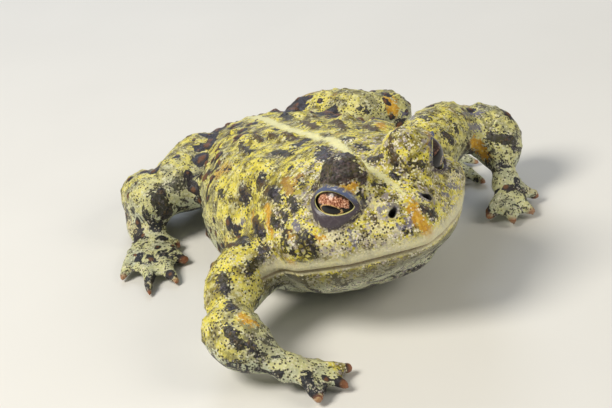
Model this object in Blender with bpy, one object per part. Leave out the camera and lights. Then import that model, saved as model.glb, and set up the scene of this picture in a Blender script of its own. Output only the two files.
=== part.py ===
"""A boreal toad resting on the ground with its head turned a little to its left, life size.

The trunk lies along Y with its belly on the floor at z = 0, the toad faces -Y and its left is +X. Sizes
below are in millimetres, and the meshes are in metres. Every fleshy piece is a pod: a round closed body with
a centre line, a width and a height that vary along it. A piece that grows out of another is cut by a slightly
larger copy of it, which leaves the gap between the two.
"""

import math
import random

import bmesh
import bpy
from mathutils import Matrix, Vector

MM = 0.001

# Driving sizes of the animal
SNOUT_TO_VENT = 80.0
HEAD_WIDTH = 32.0
EYE_DIAMETER = 7.8
GAP = 0.3

# The head is carried by the neck, pitched up and turned to the toad's left
NECK_Y = -24.0
NECK_TO_SNOUT = 24.5
LIP_HEIGHT = 17.0
HEAD_PITCH = math.radians(12.0)
HEAD_TURN = math.radians(13.0)

# The trunk: heights, half widths and sideways places of its middle at a few stations along Y
TRUNK_START_Y = -36.0
VENT_Y = NECK_Y - NECK_TO_SNOUT + SNOUT_TO_VENT
BACK_HEIGHT = (
    (-36, 12.5), (-29, 19.0), (-22, 24.0), (-16, 23.4), (-8, 21.4),
    (0, 19.4), (10, 16.9), (18, 15.0), (25, 12.8), (31.5, 8.8),
)
BELLY_HEIGHT = ((-36, 2.6), (-30, 0.8), (-24, -0.5), (16, -0.7), (24, 0.6), (31.5, 3.4))
FLANK_HEIGHT = ((-36, 7.0), (-22, 9.0), (4, 7.4), (20, 6.8), (31.5, 6.0))
TRUNK_HALF_WIDTH = (
    (-36, 12.5), (-29, 14.5), (-22, 17.0), (-14, 18.6), (-5, 18.2),
    (3, 16.4), (10, 14.4), (17, 12.8), (25, 10.6), (31.5, 8.0),
)
TRUNK_SWAY = ((-36, 2.8), (-30, 1.5), (-24, 0.4), (-17, 0.0))
TRUNK_BLUNTNESS = 3.2
BACK_ROUNDNESS = 0.9
BELLY_ROUNDNESS = 0.8

# The head, in its own frame: x across, y back from the tip of the lip, z up from the line of the mouth
HEAD_FRONT = 1.8
HEAD_LENGTH = 33.0
NECK_CUT = 24.5
LIP_CURVE = (13.5, 1.3, 1.15)
SNOUT_CURVE = (4.4, 2.0, 1.3)
NAPE_BLUNTNESS = 6.0
CROWN_ROUNDNESS = (0.86, 0.95)
JAW_ROUNDNESS = 0.8
CROWN_HEIGHT = (
    (0, 4.4), (3.1, 4.8), (4.3, 5.5), (6, 6.5), (9, 7.9),
    (12, 9.3), (16, 10.9), (20.7, 12.7), (26, 13.2), (33, 12.0),
)
CHIN_DEPTH = ((0, 2.2), (4, 3.0), (8, 4.6), (13, 7.2), (19, 9.2), (33, 9.8))
MOUTH_LINE = ((-6.0, -1.5), (9.0, -1.5), (14.0, -1.3), (17.0, -1.2), (20.5, -1.6))
LIP_OVERHANG = 0.8
CHEEK_BULGE = 1.9
CHEEK_MIDDLE = (14.0, 7.0)
CHEEK_RISE = (22.0, 18.0)

# The eyes, in the head's frame, for the toad's left (1) and right (-1): the left one is raised and wide open
EYE_CENTRES = {1: (7.5, 12.0, 8.6), -1: (6.9, 12.0, 6.9)}
EYE_GAZES = {1: (0.76, -0.65, 0.06), -1: (0.77, -0.53, 0.36)}
EYE_TILT = math.radians(17.0)
LID_THICKNESS = 0.4
EYE_OPENINGS = {1: (3.5, 2.6), -1: (3.3, 1.75)}
UPPER_LID_CENTRE = (5.6, 11.5, 9.0)
UPPER_LID_SIZE = (3.5, 4.2, 5.3)
UPPER_LID_SQUARENESS = 0.85
NOSTRIL = (2.8, 5.0, 4.9)
NOSTRIL_RADIUS = 0.6
EARDRUM = (15.9, 19.6, 4.2)
EARDRUM_RADIUS = 1.7

# Swellings of the skin: the oval gland behind each eye, and the warts (place along Y, angle round the back)
PAROTOID_Y = -17.0
PAROTOID_ANGLE = math.radians(54.0)
PAROTOID_SIZE = (3.3, 5.6, 1.5)
LARGE_WARTS = ((-4.5, 62.0), (-11.0, 54.0), (-10.5, 99.0), (2.0, 112.0), (6.0, 76.0))
LARGE_WART_RADIUS = 2.1
WART_COUNT = 44
WART_RADIUS = (0.9, 1.8)
WART_SPACING = 3.7
WART_HEIGHT = 0.5
STRIPE_HALF_WIDTH = 1.5

SIDES = {"right": -1.0, "left": 1.0}

# Limbs: the joints of each, from the body outwards, and the radius at each joint
LIMBS = {
    "upper_arm_right": (((-11.0, -23.5, 10.5), (-19.0, -28.0, 10.0), (-25.5, -34.5, 7.8)), (5.0, 5.0, 4.3)),
    "forearm_right": (((-26.0, -33.6, 7.6), (-24.6, -40.0, 6.4), (-21.0, -45.0, 4.0)), (4.4, 4.5, 2.9)),
    "upper_arm_left": (((12.5, -17.5, 12.0), (22.0, -9.6, 13.0), (30.2, -1.4, 11.6)), (5.2, 5.5, 4.6)),
    "forearm_left": (((30.8, -1.4, 11.2), (33.9, -7.6, 9.2), (32.8, -13.6, 5.6)), (4.6, 4.7, 3.0)),
    "thigh_right": (((-7.5, 24.0, 7.8), (-14.0, 17.0, 7.6), (-20.6, 9.6, 9.0)), (6.0, 5.7, 4.8)),
    "shank_right": (((-22.0, 8.4, 8.0), (-22.6, 17.0, 6.2), (-20.0, 26.0, 4.3)), (4.7, 4.6, 3.1)),
    "thigh_left": (((7.5, 24.0, 8.0), (14.5, 18.5, 8.8), (21.3, 11.0, 11.4)), (6.0, 5.8, 4.9)),
    "shank_left": (((23.0, 9.8, 10.2), (23.2, 18.0, 7.6), (20.2, 26.5, 4.5)), (4.8, 4.7, 3.2)),
}

# Hands and feet: the palm's joints and radii, then the tip of each digit on the floor
PALMS = {
    "hand_right": (((-20.6, -45.0, 3.8), (-19.5, -46.6, 3.0), (-18.5, -47.8, 2.5)), (2.8, 2.8, 2.2)),
    "hand_left": (((32.6, -14.0, 5.2), (31.8, -15.4, 4.2), (31.0, -16.7, 3.3)), (2.7, 2.7, 2.1)),
    "foot_right": (((-20.4, 26.4, 3.4), (-24.2, 17.8, 2.4), (-26.4, 9.4, 1.8)), (2.9, 2.9, 3.1)),
    "foot_left": (((20.6, 27.0, 3.5), (25.0, 18.4, 2.4), (27.6, 10.0, 1.8)), (2.9, 2.9, 3.1)),
}
DIGIT_TIPS = {
    "hand_right": ((-13.6, -44.6), (-10.4, -48.6), (-12.6, -53.0), (-18.0, -54.4)),
    "hand_left": ((25.6, -19.4), (28.6, -23.6), (33.2, -22.6), (36.8, -17.4)),
    "foot_right": ((-20.6, 4.8), (-21.6, -1.2), (-25.2, -7.2), (-30.6, -8.2), (-33.4, -0.2)),
    "foot_left": ((21.0, 5.4), (22.4, -0.6), (26.6, -6.4), (32.0, -7.0), (34.8, 0.8)),
}
DIGIT_RADIUS = 1.15
DIGIT_REST_HEIGHT = 0.45
DIGIT_ARCH = 0.8
LIMB_BLUNTNESS = 3.0
PALM_FLATNESS = 0.75
ROOT_OF = {"forearm": "upper_arm", "hand": "forearm", "shank": "thigh", "foot": "shank"}

# Colour and roughness of the yellow-olive back, of the paler limbs and of the wet dark eyes
BACK_LOOK = ((0.47, 0.42, 0.12), 0.55)
LIMB_LOOK = ((0.42, 0.41, 0.22), 0.55)
EYE_LOOK = ((0.03, 0.02, 0.015), 0.08)

# Faces round and along each kind of pod
TRUNK_FACES = (36, 28)
HEAD_FACES = (40, 30)
LID_FACES = (18, 12)
EYE_FACES = (18, 12)
LIMB_FACES = (14, 11)
PALM_FACES = (12, 9)
DIGIT_FACES = (7, 8)
GLAND_FACES = (14, 8)
WART_FACES = (7, 5)


def interpolate(points, at):
    """A smooth curve through a few (place, value) points, flat past its ends and without overshoot."""
    if at <= points[0][0]:
        return points[0][1]
    if at >= points[-1][0]:
        return points[-1][1]
    slopes = [(b[1] - a[1]) / (b[0] - a[0]) for a, b in zip(points, points[1:])]
    tangents = [slopes[0]]
    for before, after in zip(slopes, slopes[1:]):
        tangents.append(0.0 if before * after <= 0.0 else 2.0 * before * after / (before + after))
    tangents.append(slopes[-1])
    for index, (a, b) in enumerate(zip(points, points[1:])):
        if at <= b[0]:
            span = b[0] - a[0]
            t = (at - a[0]) / span
            hold = (1 + 2 * t) * (1 - t) ** 2 * a[1] + t * t * (3 - 2 * t) * b[1]
            turn = t * (1 - t) ** 2 * tangents[index] - t * t * (1 - t) * tangents[index + 1]
            return hold + turn * span
    return points[-1][1]


def closing(t, bluntness):
    """1 along most of a pod and 0 at both its ends."""
    return max(0.0, 1.0 - abs(2.0 * t - 1.0) ** bluntness) ** (1.0 / bluntness)


def rounding(distance, curve):
    """0 at the front of the head and 1 from the curve's length onwards."""
    length, first, second = curve
    return max(0.0, 1.0 - max(0.0, (length - distance) / length) ** first) ** (1.0 / second)


def power(value, exponent):
    return math.copysign(abs(value) ** exponent, value)


def new_object(name, shape):
    """A mesh object in metres from a bmesh in millimetres."""
    bmesh.ops.scale(shape, vec=(MM, MM, MM), verts=shape.verts)
    bmesh.ops.recalc_face_normals(shape, faces=shape.faces)
    mesh = bpy.data.meshes.new(name)
    shape.to_mesh(mesh)
    shape.free()
    made = bpy.data.objects.new(name, mesh)
    bpy.context.scene.collection.objects.link(made)
    return made


def pod(name, surface, faces, grow=0.0):
    """A ball whose points are moved to surface(t, angle, grow), t running from one end to the other."""
    ball = bmesh.new()
    bmesh.ops.create_uvsphere(ball, u_segments=faces[0], v_segments=faces[1], radius=1.0)
    for point in ball.verts:
        angle = math.atan2(point.co.y, point.co.x)
        point.co = surface((1.0 - point.co.z) / 2.0, angle, grow)
    return new_object(name, ball)


def block(name, low, high):
    """A plain box between two corners."""
    box = bmesh.new()
    bmesh.ops.create_cube(box, size=1.0)
    size = Vector(high) - Vector(low)
    bmesh.ops.scale(box, vec=size, verts=box.verts)
    bmesh.ops.translate(box, vec=(Vector(low) + Vector(high)) / 2.0, verts=box.verts)
    return new_object(name, box)


def duplicate(source):
    copied = bpy.data.objects.new(source.name, source.data.copy())
    bpy.context.scene.collection.objects.link(copied)
    return copied


def apply_boolean(target, others, operation):
    """Joins or cuts target with every one of others, which are then removed."""
    group = bpy.data.collections.new("group")
    for other in others:
        bpy.context.scene.collection.objects.unlink(other)
        group.objects.link(other)
    bpy.context.scene.collection.children.link(group)
    modifier = target.modifiers.new("shape", "BOOLEAN")
    modifier.operation = operation
    modifier.operand_type = "COLLECTION"
    modifier.solver = "MANIFOLD"
    modifier.collection = group
    graph = bpy.context.evaluated_depsgraph_get()
    shaped = bpy.data.meshes.new_from_object(target.evaluated_get(graph))
    target.modifiers.clear()
    target.data = shaped
    for other in others:
        bpy.data.objects.remove(other)
    bpy.data.collections.remove(group)
    return target


def cut_one_by_one(target, cutters):
    for cutter in cutters:
        apply_boolean(target, [cutter], "DIFFERENCE")
    return target


def keep_largest(target):
    """Drops every closed surface of the mesh but the largest."""
    shape = bmesh.new()
    shape.from_mesh(target.data)
    unseen = set(shape.faces)
    islands = []
    while unseen:
        island = [unseen.pop()]
        for face in island:
            beside = {other for edge in face.edges for other in edge.link_faces if other in unseen}
            unseen -= beside
            island.extend(beside)
        islands.append(island)
    islands.sort(key=lambda island: sum(face.calc_area() for face in island))
    for island in islands[:-1]:
        bmesh.ops.delete(shape, geom=island, context="FACES")
    shape.to_mesh(target.data)
    shape.free()


def make_material(name, look):
    colour, roughness = look
    material = bpy.data.materials.new(name)
    material.use_nodes = True
    shader = material.node_tree.nodes["Principled BSDF"]
    shader.inputs["Base Color"].default_value = (*colour, 1.0)
    shader.inputs["Roughness"].default_value = roughness
    return material


def finish(target, look):
    keep_largest(target)
    target.data.materials.clear()
    target.data.materials.append(make_material(f"{target.name}_surface", look))
    target.data.shade_smooth()
    target.data.set_sharp_from_angle(angle=math.radians(50.0))


def below_floor():
    """What lies under the floor: the belly, the hands and the feet end in small flats there."""
    return block("floor", (-90, -90, -30), (90, 90, 0))


def head_to_world(place):
    """From the head's own frame to the toad's."""
    across, back, up = place
    forward = NECK_TO_SNOUT - back * math.cos(HEAD_PITCH) - up * math.sin(HEAD_PITCH)
    x = across * math.cos(HEAD_TURN) + forward * math.sin(HEAD_TURN)
    y = across * math.sin(HEAD_TURN) - forward * math.cos(HEAD_TURN)
    return Vector((x, NECK_Y + y, LIP_HEIGHT - back * math.sin(HEAD_PITCH) + up * math.cos(HEAD_PITCH)))


def head_direction(direction):
    """A direction in the head's frame, turned into the toad's."""
    return (head_to_world(direction) - head_to_world((0, 0, 0))).normalized()


def trunk_surface(t, angle, grow):
    y = TRUNK_START_Y - grow + (VENT_Y - TRUNK_START_Y + 2.0 * grow) * t
    end = closing(t, TRUNK_BLUNTNESS)
    width = (interpolate(TRUNK_HALF_WIDTH, y) + grow) * end
    middle = interpolate(FLANK_HEIGHT, y)
    across, upward = math.cos(angle), math.sin(angle)
    x = interpolate(TRUNK_SWAY, y)
    if upward >= 0.0:
        height = (interpolate(BACK_HEIGHT, y) + grow - middle) * end
        x += width * power(across, BACK_ROUNDNESS)
        return Vector((x, y, middle + height * power(upward, BACK_ROUNDNESS)))
    depth = (middle - interpolate(BELLY_HEIGHT, y) + grow) * end
    x += width * power(across, BELLY_ROUNDNESS)
    return Vector((x, y, middle + depth * power(upward, BELLY_ROUNDNESS)))


def cheek(back, across, upward):
    """How far the cheek swells outwards, most a little above the corner of the mouth."""
    lengthwise = math.exp(-(((back - CHEEK_MIDDLE[0]) / CHEEK_MIDDLE[1]) ** 2))
    angle = math.degrees(math.atan2(upward, abs(across)))
    upwards = math.exp(-(((angle - CHEEK_RISE[0]) / CHEEK_RISE[1]) ** 2))
    return math.copysign(CHEEK_BULGE * lengthwise * upwards * min(1.0, 4.0 * abs(across)), across)


def head_surface(t, angle, grow):
    back = HEAD_FRONT - grow + (HEAD_LENGTH - HEAD_FRONT + grow) * t
    distance = back - HEAD_FRONT + grow
    end = closing(max(t, 0.5), NAPE_BLUNTNESS)
    width = (HEAD_WIDTH / 2.0 + grow) * rounding(distance, LIP_CURVE) * end
    rise = rounding(distance, SNOUT_CURVE) * end
    across, upward = math.cos(angle), math.sin(angle)
    if upward >= 0.0:
        height = (interpolate(CROWN_HEIGHT, back) + grow) * rise
        side = width * power(across, CROWN_ROUNDNESS[0]) + cheek(back, across, upward)
        return head_to_world((side, back, height * power(upward, CROWN_ROUNDNESS[1])))
    jaw = width - LIP_OVERHANG * min(1.0, -3.0 * upward, width / 4.0)
    depth = (interpolate(CHIN_DEPTH, back) + grow) * rise
    return head_to_world((jaw * power(across, JAW_ROUNDNESS), back, depth * power(upward, JAW_ROUNDNESS)))


def limb_surface(joints, radii, flatness=1.0):
    """The surface of a round limb through its joints, with a radius at each."""
    last = len(joints) - 1
    tables = [[(index, joint[axis]) for index, joint in enumerate(joints)] for axis in range(3)]
    radius_table = list(enumerate(radii))

    def centre(place):
        return Vector([interpolate(table, place) for table in tables])

    def surface(t, angle, grow):
        place = last * t
        forward = (centre(min(last, place + 0.05)) - centre(max(0.0, place - 0.05))).normalized()
        side = forward.cross(Vector((0.0, 0.0, 1.0)))
        side = side.normalized() if side.length > 0.05 else Vector((1.0, 0.0, 0.0))
        above = side.cross(forward)
        radius = (interpolate(radius_table, place) + grow) * closing(t, LIMB_BLUNTNESS)
        reach = forward * grow * (2.0 * t - 1.0)
        offset = side * math.cos(angle) + above * flatness * math.sin(angle)
        return centre(place) + reach + offset * radius

    return surface


def bump(name, centre, outward, heading, size, faces=WART_FACES, squareness=1.0):
    """A low dome on the skin: size is its half width, half length and height, and its lower half is sunk."""
    side = heading.cross(outward).normalized()
    forward = outward.cross(side)
    ball = bmesh.new()
    bmesh.ops.create_uvsphere(ball, u_segments=faces[0], v_segments=faces[1], radius=1.0)
    for point in ball.verts:
        x, y, z = (power(place, squareness) * half for place, half in zip(point.co, size))
        point.co = centre + side * x + forward * y + outward * z
    return new_object(name, ball)


def trunk_frame(y, angle):
    """A point of the back at y and at an angle round it, with the direction out of it."""
    t = (y - TRUNK_START_Y) / (VENT_Y - TRUNK_START_Y)
    here = trunk_surface(t, angle, 0.0)
    along = trunk_surface(t + 0.01, angle, 0.0) - here
    around = trunk_surface(t, angle + 0.03, 0.0) - here
    return here, along.cross(around).normalized()


def parotoid(sign, grow):
    """The long gland behind the eye."""
    angle = PAROTOID_ANGLE if sign > 0 else math.pi - PAROTOID_ANGLE
    centre, outward = trunk_frame(PAROTOID_Y, angle)
    heading = Vector((0.3 * sign, 1.0, -0.1))
    return bump("parotoid", centre, outward, heading, [size + grow for size in PAROTOID_SIZE], GLAND_FACES)


def wart(y, angle, radius, stretch, grow):
    centre, outward = trunk_frame(y, angle)
    size = (radius + grow, radius * stretch + grow, WART_HEIGHT * radius + grow)
    return bump("wart", centre, outward, Vector((0.0, 1.0, 0.0)), size)


def back_warts(grow):
    """Round warts over the back and the upper flanks: a few large ones, and smaller ones between them."""
    draw = random.Random(7)
    warts = [wart(y, math.radians(angle), LARGE_WART_RADIUS, 1.3, grow) for y, angle in LARGE_WARTS]
    placed = [trunk_frame(y, math.radians(angle))[0] for y, angle in LARGE_WARTS]
    while len(placed) < WART_COUNT:
        y = draw.uniform(-13.0, 27.0)
        angle = math.radians(draw.uniform(22.0, 158.0))
        radius = draw.uniform(*WART_RADIUS)
        stretch = draw.uniform(1.0, 1.35)
        centre = trunk_frame(y, angle)[0]
        on_gland = y < PAROTOID_Y + 8.0 and abs(centre.x) > 6.0
        crowded = any((centre - other).length < WART_SPACING for other in placed)
        if on_gland or crowded or abs(centre.x) < STRIPE_HALF_WIDTH + radius:
            continue
        placed.append(centre)
        warts.append(wart(y, angle, radius, stretch, grow))
    return warts


def trunk_whole(name, grow):
    """The trunk with its glands and warts, grown all round by grow."""
    trunk = pod(name, trunk_surface, TRUNK_FACES, grow)
    return apply_boolean(trunk, [parotoid(sign, grow) for sign in SIDES.values()] + back_warts(grow), "UNION")


def neck_block(name, low, high):
    """Space between two planes across the head, at low and high behind the tip of the lip."""
    box = block(name, (-40, low, -40), (40, high, 40))
    for point in box.data.vertices:
        point.co = head_to_world(point.co / MM) * MM
    return box


def make_torso():
    torso = trunk_whole("torso", 0.0)
    room_for_head = pod("room", head_surface, HEAD_FACES, GAP)
    apply_boolean(room_for_head, [neck_block("front", -20.0, NECK_CUT + GAP)], "INTERSECT")
    return cut_one_by_one(torso, [room_for_head, below_floor()])


def eye_axes(sign):
    """Centre of one eye in the toad's frame, its gaze, and the directions up and back along its lids."""
    across, back, up = EYE_CENTRES[sign]
    centre = head_to_world((across * sign, back, up))
    across, back, up = EYE_GAZES[sign]
    gaze = head_direction((across * sign, back, up))
    upward = head_direction((0.0, 0.0, 1.0))
    level = (upward - gaze * upward.dot(gaze)).normalized()
    lean = Matrix.Rotation(EYE_TILT * sign, 3, gaze)
    upward = lean @ level
    return centre, gaze, upward, upward.cross(gaze) * sign


def eye_ball(name, sign, radius):
    """A ball whose pole looks along the gaze."""
    centre, gaze, upward, along = eye_axes(sign)
    ball = bmesh.new()
    bmesh.ops.create_uvsphere(ball, u_segments=EYE_FACES[0], v_segments=EYE_FACES[1], radius=radius)
    for point in ball.verts:
        point.co = centre + along * point.co.x + upward * point.co.y + gaze * point.co.z
    return new_object(name, ball)


def lid_opening(sign):
    """An almond-shaped cutter that runs outwards along the gaze."""
    centre, gaze, upward, along = eye_axes(sign)
    half_length, half_height = EYE_OPENINGS[sign]
    almond = bmesh.new()
    ring = bmesh.ops.create_circle(almond, cap_ends=True, segments=20, radius=1.0)["verts"]
    for point in ring:
        across, rise = point.co.x, point.co.y
        point.co = centre + along * across * half_length + upward * power(rise, 1.25) * half_height + gaze
    pushed = bmesh.ops.extrude_face_region(almond, geom=list(almond.faces))
    outer = [item for item in pushed["geom"] if isinstance(item, bmesh.types.BMVert)]
    bmesh.ops.translate(almond, verts=outer, vec=gaze * 7.0)
    return new_object("opening", almond)


def upper_lid(sign):
    """The domed upper eyelid, which stands above the crown."""
    centre = head_to_world((UPPER_LID_CENTRE[0] * sign, UPPER_LID_CENTRE[1], UPPER_LID_CENTRE[2]))
    outward, heading = head_direction((0, 0, 1)), head_direction((0, 1, 0))
    return bump("lid", centre, outward, heading, UPPER_LID_SIZE, LID_FACES, UPPER_LID_SQUARENESS)


def nostril_cutter(sign):
    place = head_to_world((NOSTRIL[0] * sign, NOSTRIL[1], NOSTRIL[2]))
    size = (NOSTRIL_RADIUS, NOSTRIL_RADIUS * 1.3, NOSTRIL_RADIUS * 1.4)
    return bump("nostril", place, head_direction((0.75 * sign, -0.3, 0.6)), Vector((0, 1, 0)), size)


def eardrum_rim(sign):
    """The low rim of the eardrum behind the corner of the mouth."""
    place = head_to_world((EARDRUM[0] * sign, EARDRUM[1], EARDRUM[2]))
    outward = head_direction((0.9 * sign, 0.1, 0.4))
    side = Vector((0.0, 1.0, 0.0)).cross(outward).normalized()
    forward = outward.cross(side)
    rim = bmesh.new()
    wire = bmesh.ops.create_circle(rim, segments=6, radius=0.45)["verts"]
    upright = Matrix.Rotation(math.pi / 2.0, 3, "X")
    bmesh.ops.rotate(rim, verts=wire, cent=(0, 0, 0), matrix=upright)
    bmesh.ops.translate(rim, verts=wire, vec=(EARDRUM_RADIUS, 0, 0))
    geometry = list(rim.verts) + list(rim.edges)
    bmesh.ops.spin(rim, geom=geometry, axis=(0, 0, 1), angle=2.0 * math.pi, steps=12, use_merge=True)
    for point in rim.verts:
        point.co = place + side * point.co.x + forward * point.co.y * 1.2 + outward * point.co.z
    return new_object("eardrum", rim)


def jaw_space(name, lowered):
    """The space of the lower jaw: under the line of the mouth, less lowered, and in front of its corners."""
    outline = [(y, z - lowered) for y, z in MOUTH_LINE[:-1]]
    corner_y, corner_z = MOUTH_LINE[-1]
    outline.append((corner_y - lowered, corner_z - lowered))
    outline += [(corner_y + 3.0 - lowered, -30.0), (MOUTH_LINE[0][0], -30.0)]
    sheet = bmesh.new()
    face = sheet.faces.new([sheet.verts.new((-30.0, y, z)) for y, z in outline])
    pushed = bmesh.ops.extrude_face_region(sheet, geom=[face])
    moved = [item for item in pushed["geom"] if isinstance(item, bmesh.types.BMVert)]
    bmesh.ops.translate(sheet, verts=moved, vec=(60.0, 0, 0))
    for point in sheet.verts:
        point.co = head_to_world(point.co)
    return new_object(name, sheet)


def head_whole(name):
    """The head with its lids, before it is parted at the mouth."""
    head = pod(name, head_surface, HEAD_FACES)
    added = [eye_ball("lid", sign, EYE_DIAMETER / 2.0 + GAP + LID_THICKNESS) for sign in SIDES.values()]
    added += [upper_lid(sign) for sign in SIDES.values()]
    added += [eardrum_rim(sign) for sign in SIDES.values()]
    apply_boolean(head, added, "UNION")
    cutters = [neck_block("behind", NECK_CUT, 60.0)]
    for sign in SIDES.values():
        cutters.append(eye_ball("socket", sign, EYE_DIAMETER / 2.0 + GAP))
        cutters += [lid_opening(sign), nostril_cutter(sign)]
    return cut_one_by_one(head, cutters)


def limb(name, limb_name, grow=0.0):
    joints, radii = LIMBS[limb_name]
    return pod(name, limb_surface(joints, radii), LIMB_FACES, grow)


def digit(root, tip):
    """One finger or toe: it arches a little above the floor and comes down on its round tip."""
    end = Vector((tip[0], tip[1], DIGIT_REST_HEIGHT))
    knuckle = root.lerp(end, 0.5) + Vector((0.0, 0.0, DIGIT_ARCH))
    radii = (DIGIT_RADIUS * 1.05, DIGIT_RADIUS * 0.9, DIGIT_RADIUS)
    return pod("digit", limb_surface((root, knuckle, end), radii, 0.95), DIGIT_FACES)


def make_palm(name):
    joints, radii = PALMS[name]
    palm = pod(name, limb_surface(joints, radii, PALM_FLATNESS), PALM_FACES)
    root = Vector(joints[2]).lerp(Vector(joints[1]), 0.2)
    apply_boolean(palm, [digit(root, tip) for tip in DIGIT_TIPS[name]], "UNION")
    return apply_boolean(palm, [below_floor()], "DIFFERENCE")


def carve(made, name, body_room, head_room):
    """Cuts a piece clear of the torso, the head and the segments that it grows from."""
    kind, side = name.rsplit("_", 1)
    cutters = [duplicate(body_room)]
    if "arm" in kind:
        cutters.append(duplicate(head_room))
    while kind in ROOT_OF:
        kind = ROOT_OF[kind]
        cutters.append(limb("root_room", f"{kind}_{side}", GAP))
    return cut_one_by_one(made, cutters)


def main():
    for old in list(bpy.data.objects):
        bpy.data.objects.remove(old)
    finish(make_torso(), BACK_LOOK)
    finish(cut_one_by_one(head_whole("head"), [jaw_space("mouth", 0.0)]), BACK_LOOK)
    finish(apply_boolean(head_whole("lower_jaw"), [jaw_space("mouth", GAP)], "INTERSECT"), LIMB_LOOK)
    for side, sign in SIDES.items():
        finish(eye_ball(f"eye_{side}", sign, EYE_DIAMETER / 2.0), EYE_LOOK)
    body_room = trunk_whole("body_room", GAP)
    head_room = pod("head_room", head_surface, HEAD_FACES, GAP)
    for name in LIMBS:
        finish(carve(limb(name, name), name, body_room, head_room), LIMB_LOOK)
    for name in PALMS:
        finish(carve(make_palm(name), name, body_room, head_room), LIMB_LOOK)
    bpy.data.objects.remove(body_room)
    bpy.data.objects.remove(head_room)


main()
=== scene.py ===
"""The looks of a life-size boreal toad: one warty skin over all its solids, two wet copper eyes and a studio.

The toad faces -Y, its left is +X and the floor is z = 0. Sizes are in millimetres until a mesh is finished, and
the finished meshes are in metres.
"""

import functools
import math
import random

import bmesh
import bpy
import numpy as np
from mathutils import Matrix, Vector, kdtree, noise
from mathutils.bvhtree import BVHTree


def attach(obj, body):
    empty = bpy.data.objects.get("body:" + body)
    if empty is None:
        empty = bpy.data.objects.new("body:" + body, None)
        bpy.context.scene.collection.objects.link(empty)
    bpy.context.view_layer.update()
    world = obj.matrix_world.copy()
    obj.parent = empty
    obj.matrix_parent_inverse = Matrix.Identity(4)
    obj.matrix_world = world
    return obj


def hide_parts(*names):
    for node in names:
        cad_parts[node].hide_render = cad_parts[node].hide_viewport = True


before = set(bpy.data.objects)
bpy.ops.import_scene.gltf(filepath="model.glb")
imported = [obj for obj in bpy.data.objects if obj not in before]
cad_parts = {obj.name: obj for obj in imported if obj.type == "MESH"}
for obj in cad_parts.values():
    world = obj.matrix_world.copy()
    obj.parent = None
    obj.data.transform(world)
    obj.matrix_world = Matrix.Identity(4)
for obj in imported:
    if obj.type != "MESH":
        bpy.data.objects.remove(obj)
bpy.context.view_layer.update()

bl_info = {
    "name": "Boreal toad",
    "version": (1, 0, 0),
    "blender": (4, 5, 0),
    "location": "3D View > Sidebar > Toad",
    "description": "Builds the skin, the eyes and the studio of a boreal toad",
    "category": "Object",
}

MM = 0.001
SIDES = {"right": -1.0, "left": 1.0}

# The head is carried by the neck, pitched up and turned to the toad's left
NECK_Y = -24.0
NECK_TO_SNOUT = 24.5
LIP_HEIGHT = 17.0
HEAD_PITCH = math.radians(12.0)
HEAD_TURN = math.radians(13.0)

# The trunk: heights, half widths and sideways places of its middle at a few stations along Y
TRUNK_START_Y = -36.0
VENT_Y = 31.5
BACK_HEIGHT = (
    (-36, 12.5), (-29, 19.0), (-22, 24.0), (-16, 23.4), (-8, 21.4),
    (0, 19.4), (10, 16.9), (18, 15.0), (25, 12.8), (31.5, 8.8),
)
BELLY_HEIGHT = ((-36, 2.6), (-30, 0.8), (-24, -0.5), (16, -0.7), (24, 0.6), (31.5, 3.4))
FLANK_HEIGHT = ((-36, 7.0), (-22, 9.0), (4, 7.4), (20, 6.8), (31.5, 6.0))
TRUNK_HALF_WIDTH = (
    (-36, 12.5), (-29, 14.5), (-22, 17.0), (-14, 18.6), (-5, 18.2),
    (3, 16.4), (10, 14.4), (17, 12.8), (25, 10.6), (31.5, 8.0),
)
TRUNK_SWAY = ((-36, 2.8), (-30, 1.5), (-24, 0.4), (-17, 0.0))
TRUNK_BLUNTNESS = 3.2
BACK_ROUNDNESS = 0.9
BELLY_ROUNDNESS = 0.8

# The head, in its own frame: x across, y back from the tip of the lip, z up from the line of the mouth
HEAD_WIDTH = 32.0
HEAD_FRONT = 1.8
HEAD_LENGTH = 33.0
LIP_CURVE = (13.5, 1.3, 1.15)
SNOUT_CURVE = (4.4, 2.0, 1.3)
NAPE_BLUNTNESS = 6.0
CROWN_ROUNDNESS = (0.86, 0.95)
JAW_ROUNDNESS = 0.8
LIP_OVERHANG = 0.8
CHEEK_BULGE = 1.9
CHEEK_MIDDLE = (14.0, 7.0)
CHEEK_RISE = (22.0, 18.0)
CROWN_HEIGHT = (
    (0, 4.4), (3.1, 4.8), (4.3, 5.5), (6, 6.5), (9, 7.9),
    (12, 9.3), (16, 10.9), (20.7, 12.7), (26, 13.2), (33, 12.0),
)
CHIN_DEPTH = ((0, 2.2), (4, 3.0), (8, 4.6), (13, 7.2), (19, 9.2), (33, 9.8))
MOUTH_LINE = ((-6.0, -1.5), (9.0, -1.5), (14.0, -1.3), (17.0, -1.2), (20.5, -1.6))

# The eyes, in the head's frame, for the toad's left (1) and right (-1): the left one is raised and wide open
EYE_DIAMETER = 7.8
EYE_CENTRES = {1: (7.5, 12.0, 8.6), -1: (6.9, 12.0, 6.9)}
EYE_GAZES = {1: (0.76, -0.65, 0.06), -1: (0.77, -0.53, 0.36)}
EYE_TILT = math.radians(17.0)
LID_RADIUS = 4.4
COPPER_FROM = {1: 1.0, -1: -0.3}
EYE_OPENINGS = {1: (3.5, 2.6), -1: (3.3, 1.75)}
OPENING_ROUNDNESS = 1.25
UPPER_LID_CENTRE = (5.6, 11.5, 9.0)
UPPER_LID_SIZE = (3.5, 4.2, 5.3)
UPPER_LID_SQUARENESS = 0.85
EARDRUM = (15.9, 19.6, 4.2)
EARDRUM_RADIUS = 1.7

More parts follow.
